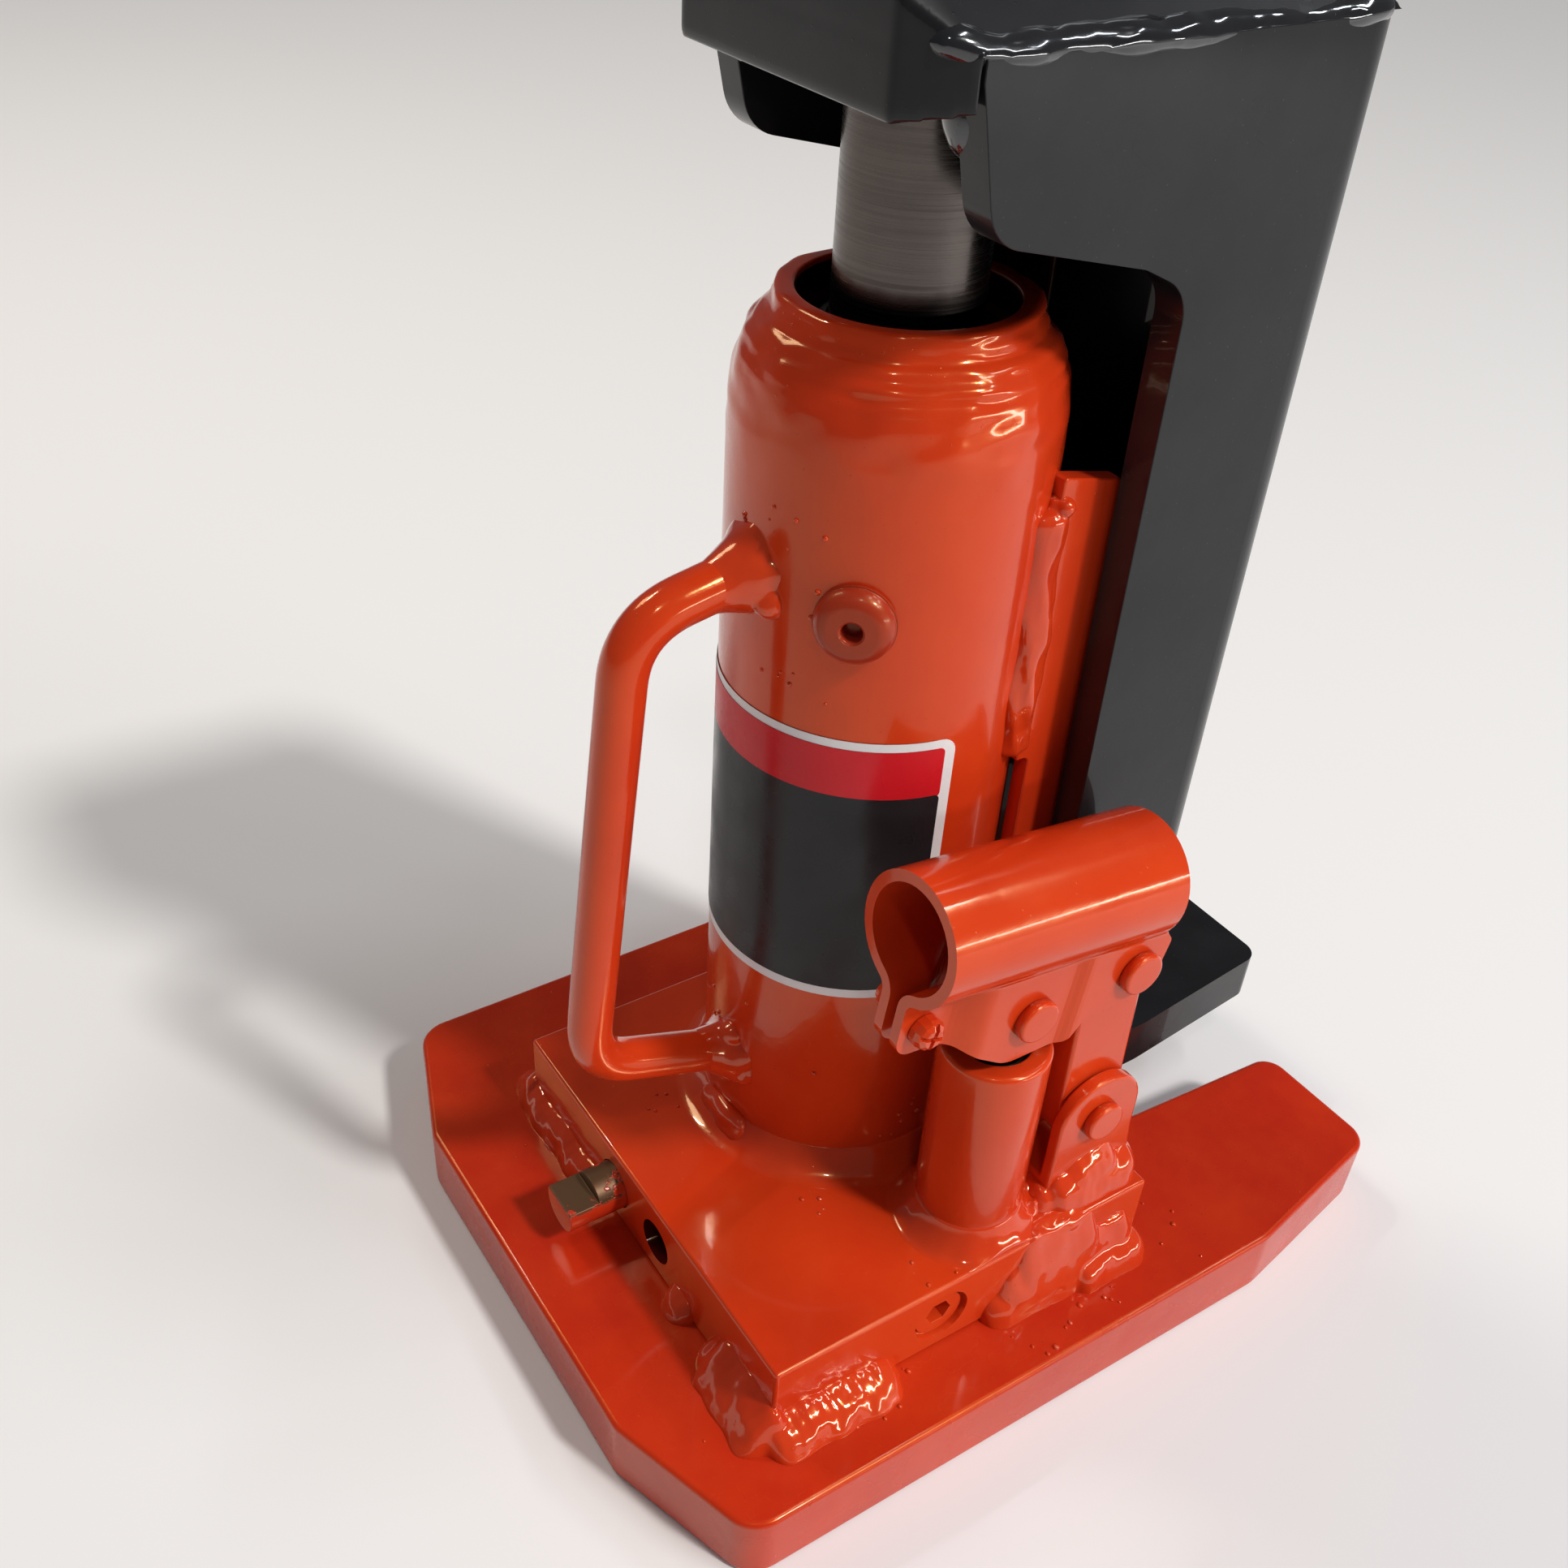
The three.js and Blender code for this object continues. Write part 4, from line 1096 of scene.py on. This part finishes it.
def block_welds():
    """Heavy interrupted passes round the block's foot, as a hand welder leaves them."""
    low, high = BLOCK
    z = PLATE[1].z
    near, far, back, front = low.y, high.y, low.x, high.x
    to_near, to_far, to_back = (0, -1, 0), (0, 1, 0), (-1, 0, 0)
    shells = [
        fillet((back - 4, near, z), (-29, near, z), to_near, 8.4, 7.4, 3, 0.1, 0.2),
        fillet((-47, near, z), (-27, near, z), to_near, 8.0, 6.4, 4, 0.12),
        fillet((back, near - 4, z), (back, -45, z), to_back, 9, 11, 5, 0.02),
        fillet((back, -56, z), (back, -42, z), to_back, 6, 8, 6, 0.12),
    ]
    orange_weld("weld_near_corner", shells, swell=0.3)
    shells = [
        fillet((-2, near, z), (front + 1, near, z), to_near, 5.2, 7, 8, 0.12, 0.1),
        fillet((2, near, z + 2), (front - 2, near, z + 2), to_near, 4.8, 12, 9, 0.1, 0.08),
        fillet((6, near, z + 4), (32, near, z + 4), to_near, 4.6, 18.2, 10, 0.06, 0.06),
        fillet((22, near, z), (front + 1, near, z), to_near, 7.4, 8.5, 12, 0.16),
        run([(7, near + 4, high.z - 1.2), (28, near + 4, high.z - 1.2)], 2.4, 5.0, 11),
    ]
    orange_weld("weld_near_side", shells, swell=0.4)
    shells = [
        fillet((back, 8, z), (back, far + 4, z), to_back, 5, 7, 14, 0.1, 0.1),
        run([(back - 0.5, 22, z + 1), (back - 0.5, far, z + 1)], 4.2, 3.6, 15, lump=0.5),
        fillet((back - 4, far, z), (-26, far, z), to_far, 9, 9, 16),
    ]
    shells += sprinkle([(back - 2, 12, z + 1), (back - 2, far, z + 1)], 8, 1.8, 1.4, 17)
    orange_weld("weld_far_corner", shells, smooth=4, swell=0.3)
    orange_weld("weld_back_spot", [fillet((back, -35, z), (back, -24, z), to_back, 4.5, 6.5, 18)], swell=0.3)
    shells = [
        fillet((-8, far, z), (front + 4, far, z), to_far, 7.5, 9, 20, 0.14),
        fillet((2, far, z + 2), (front - 6, far, z + 2), to_far, 6, 12, 19, 0.1),
    ]
    orange_weld("weld_far_side", shells, swell=0.4)


def pump_welds():
    top = BLOCK[1].z
    skirt("weld_pump_skirt", (PUMP_X, PUMP_Y, top), PUMP_R, PUMP_R + 6.8, 7.5, 31)
    low, high = LUG
    near, far = PUMP_Y - LUG_REACH, PUMP_Y + LUG_REACH
    shells = [
        fillet((low.x, near, top - 1), (high.x + 1, near, top - 1), (0, -1, 0), 5.4, 10, 34, 0.12),
        fillet((low.x + 4, near, top), (high.x - 5, near, top), (0, -1, 0), 4.2, 12.5, 35, 0.14),
        fillet((high.x, near - 3, top - 1), (high.x, far, top - 1), (1, 0, 0), 1.6, 8, 36),
        fillet((low.x, far, top - 1), (high.x, far, top - 1), (0, 1, 0), 5.5, 8, 37),
        fillet((low.x, near - 3, top - 1), (low.x, far, top - 1), (-1, 0, 0), 4.5, 7, 38),
    ]
    orange_weld("weld_lug", shells, voxel=0.5, swell=0.4)
    shells = [run([(13, near - 2, top - 0.5), (17, near + 8, top)], 4.4, 4.4, 41, lump=0.4)]
    shells += sprinkle([(15, near, top + 2), (17, near + 7, top + 3)], 8, 1.5, 1.2, 42)
    orange_weld("weld_pump_bridge", shells, smooth=4, swell=0.3)


def horn(x, z, along):
    """The flared foot where the carry rod's end melts into the reservoir."""
    length, steps = 13, 12
    profile = []
    for i in range(steps + 1):
        t = i / steps
        profile.append((4.4 + 4.4 * (1 - t) ** 1.8, length * t))
    flare = lathe("horn", [(0, -3), (9.6, -3), *profile, (0, length)], (x, 0, z), along, 40)
    for vertex in flare.data.vertices:
        p = vertex.co / MM
        wide = max(0.0, 1 - (x - p.x) / 9)
        lump = noise.noise(p * 0.16 + Vector((0, z, 0)))
        vertex.co += Vector((0, p.y, p.z - z)) * 0.25 * wide * lump * MM
    return flare


def tank_welds():
    foot = BLOCK[1].z
    skirt("weld_tank_skirt", (0, 0, foot), TANK_R, TANK_R + 8.5, 6.5, 43, 0.8)
    shells = [run(round_tank(foot + 2.5, TANK_R + 0.4, 166, 198), 4.6, 3.0, 44, lump=0.4)]
    shells += sprinkle(round_tank(foot + 4, TANK_R + 0.6, 170, 196), 6, 1.5, 0.9, 45)
    shells += [run(round_tank(foot + 1.5, TANK_R + 2.0, 276, 292), 5.0, 2.2, 46, lump=0.5)]
    orange_weld("weld_tank_foot", shells, smooth=4)
    for name, z, slope in (("upper", 191.8, -5.5 / 29.5), ("lower", 65.3, 14.5 / 40.5)):
        wall = 0.5 - TANK_R
        shells = [
            horn(wall, z, (-1, 0, slope)),
            run([(wall, -1, z + 3), (wall + 0.2, -3.0, z + 9.5)], 3.6, 3.4, 48 + z),
            run([(wall, -4, z - 2), (wall + 1.6, -9.5, z - 5)], 3.4, 3.4, 49 + z),
            run([(wall, 3, z - 4), (wall + 1.4, 8, z - 7)], 3.0, 3.0, 50 + z),
        ]
        orange_weld(f"weld_handle_{name}", shells, voxel=0.5, smooth=6)


def guide_welds():
    for name, side in SIDES:
        low, high = box(f"guide_bar_{name}")
        x, y = low.x - 1, side * 28.2
        shells = [run([(x, y, 150.5), (x, y, high.z - 6)], 4.2, 2.9, 51 + side)]
        edge = [(x - 1.5, y - side * 0.2, 152), (x - 1.5, y, high.z - 10)]
        shells += sprinkle(edge, 14, 1.5, 0.7, 52 + side)
        shells += sprinkle([(x, y - side, high.z - 12), (x + 2, y, high.z - 6)], 9, 2.0, 1.2, 57 + side)
        shells += [run([(x, y, low.z + 1), (x, y, low.z + 12)], 3.2, 2.4, 55 + side, lump=0.3)]
        orange_weld(f"weld_guide_{name}", shells, voxel=0.5, smooth=3)


def claw_welds():
    """Fat smooth passes that close the head onto the arm, and the arm onto the toe."""
    z = SEAT
    for name, side in SIDES:
        y = side * (HALF - 3.3)
        brow = [(-27, side * PAD_HALF, z + 2.5), (-20, side * 34, z), (-14, y, z), (66, y, z)]
        shells = [run(brow, 3.0, 3.9, 61 + side, lump=0.16)]
        inside = side * (HALF - WALL - 0.6)
        shells += [run([(-20, inside, HEAD[0].z), (28, inside, HEAD[0].z)], 6.5, 6.0, 63 + side, lump=0.2)]
        black_weld(f"weld_head_{name}", shells, 14)
    rim = ARM[1].x - 2.6
    shells = [run([(rim, -HALF + 6, z), (rim, HALF - 6, z)], 2.6, 3.0, 66, lump=0.3)]
    black_weld("weld_head_back", shells, 12, 0.9)
    shells = [run([(ARM[1].x, -26, TOE_TOP), (ARM[1].x, 26, TOE_TOP)], 5.0, 5.0, 68, lump=0.3)]
    for side in (-1, 1):
        shells.append(run([(54, side * 29, 43), (66, side * 29, 43)], 4.2, 3.4, 69 + side, lump=0.3))
    black_weld("weld_toe", shells, 8)


def spatter():
    """Beads of weld metal that landed on the plate, the block and the tank, painted over."""
    chance = random.Random(7)
    shells = []
    low, high = BLOCK
    plate_top = PLATE[1].z
    spots = [
        (-62, -66), (-45, -76), (-30, -74), (12, -77), (30, -79), (44, -74), (52, -62), (-66, 30), (-40, 53),
    ]
    for x, y in spots:
        for _ in range(7):
            p = (x + chance.gauss(0, 7), y + chance.gauss(0, 4.5), plate_top)
            inside = low.x < p[0] < high.x and low.y < p[1] < high.y
            if inside or abs(p[1]) > 84 or (p[0] > 48 and abs(p[1]) < 40):
                continue
            shells.append(ball(p, chance.uniform(0.35, 0.95), 0.7, 1))
    for x, y in [(18, -64), (-12, -60), (-26, -34), (38, -66), (44, -30), (-40, 10)]:
        for _ in range(6):
            p = (x + chance.gauss(0, 4), y + chance.gauss(0, 4), high.z)
            inside = low.x + 1 < p[0] < high.x - 1 and low.y + 1 < p[1] < high.y - 1
            if inside and hypot(p[0], p[1]) > 33:
                shells.append(ball(p, chance.uniform(0.3, 0.75), 0.7, 1))
    place(merge("spatter", shells), paint=weld_paint)


def tank_spatter():
    chance = random.Random(11)
    shells = []
    spots = [(188, 200, 9, 7), (186, 72, 12, 6), (262, 52, 16, 5), (300, 175, 5, 22), (205, 178, 8, 7)]
    for angle, z, wide, tall in spots:
        for _ in range(9):
            a = radians(angle + chance.gauss(0, wide))
            height = z + chance.gauss(0, tall)
            at = Vector((TANK_R * cos(a), TANK_R * sin(a), height))
            shells.append(ball(at, chance.uniform(0.3, 0.7), 1, 1))
    place(merge("tank_spatter", shells), paint=weld_paint)


# ---------- stage ----------
def studio():
    reach, drop = 4000, -0.4
    corners = [(-reach, -reach), (reach, -reach), (reach, reach), (-reach, reach)]
    floor = new_object("floor", [(x, y, drop) for x, y in corners], [(0, 1, 2, 3)])
    pale = bpy.data.materials.new("floor_pale")
    pale.use_nodes = True
    surface = pale.node_tree.nodes["Principled BSDF"]
    surface.inputs["Base Color"].default_value = (0.84, 0.84, 0.85, 1)
    surface.inputs["Roughness"].default_value = 0.9
    surface.inputs["Specular IOR Level"].default_value = 0.1
    floor.data.materials.append(pale)
    world = bpy.data.worlds.new("studio")
    world.use_nodes = True
    sky = world.node_tree.nodes["Background"]
    sky.inputs["Color"].default_value = (0.92, 0.95, 1.0, 1)
    sky.inputs["Strength"].default_value = 0.11
    bpy.context.scene.world = world
    bpy.context.scene.view_settings.view_transform = "Standard"
    target = Vector((10, 0, 120)) * MM
    key = bpy.data.lights.new("key", "SUN")
    key.energy = 1.75
    key.angle = radians(6)
    key.color = (1.0, 0.96, 0.91)
    lamps = [(key, (390, -830, 1120))]
    for name, place_at, size, power, colour in (  # millimetres, metres and watts
        ("front_tube", (714, -1267, 258), (0.9, 0.05), 4.5, (1, 0.97, 0.94)),
        ("ceiling_tube", (890, -480, 1160), (0.45, 0.05), 2.4, (0.92, 0.95, 1)),
        ("near_tube", (564, -980, 1060), (0.5, 0.06), 2.8, (1, 1, 1)),
        ("high_tube", (470, -390, 1490), (0.4, 0.06), 2.6, (1, 1, 1)),
        ("left_spot", (-420, -650, 1350), (0.08, 0.08), 1.4, (1, 1, 1)),
        ("back_spot", (-300, 900, 1300), (0.30, 0.04), 3.0, (1, 1, 1)),
        ("back_window", (-420, 1000, 1150), (0.35, 0.35), 3.2, (1, 0.8, 0.55)),
    ):
        light = bpy.data.lights.new(name, "AREA")
        light.shape = "RECTANGLE"
        light.size, light.size_y = size
        light.energy = power
        light.color = colour
        lamps.append((light, place_at))
    for light, place_at in lamps:
        lamp = link_object(light.name, light)
        lamp.location = Vector(place_at) * MM
        lamp.rotation_euler = (target - lamp.location).to_track_quat("-Z", "Y").to_euler()


def camera():
    """The camera fitted to the photo: 37 mm on a 36 mm frame, with a small shift."""
    lens = bpy.data.cameras.new("camera")
    lens.sensor_width = 36
    lens.lens = 37.185
    lens.shift_x = 0.0270
    lens.shift_y = 0.0465
    lens.clip_start = 0.01
    eye = link_object("camera", lens)
    eye.location = (-0.1815, -0.2263, 0.3401)
    eye.rotation_euler = [radians(a) for a in (51.29, -2.2, -32.08)]
    bpy.context.scene.camera = eye


def carried_over():
    """CAD nodes that stay as they are take the finish that the record gives them."""
    for part in frame["record"]["subparts"]:
        node = frame["nodes"].get(part["node"])
        if node is not None:
            node.data.materials.clear()
            node.data.materials.append(FINISHES.get(part["material_slot"], orange))


carried_over()
base_plate()
base_block()
reservoir()
mouth_parts()
filler_plug()
carry_handle()
guide_bars()
claw_arm()
claw_head()
toe()
pump_unit()
link_and_lug()
handle_socket()
pins()
clamp_screw()
release_valve()
screw_plug()
block_welds()
pump_welds()
tank_welds()
guide_welds()
claw_welds()
spatter()
tank_spatter()
label()
camera()
studio()
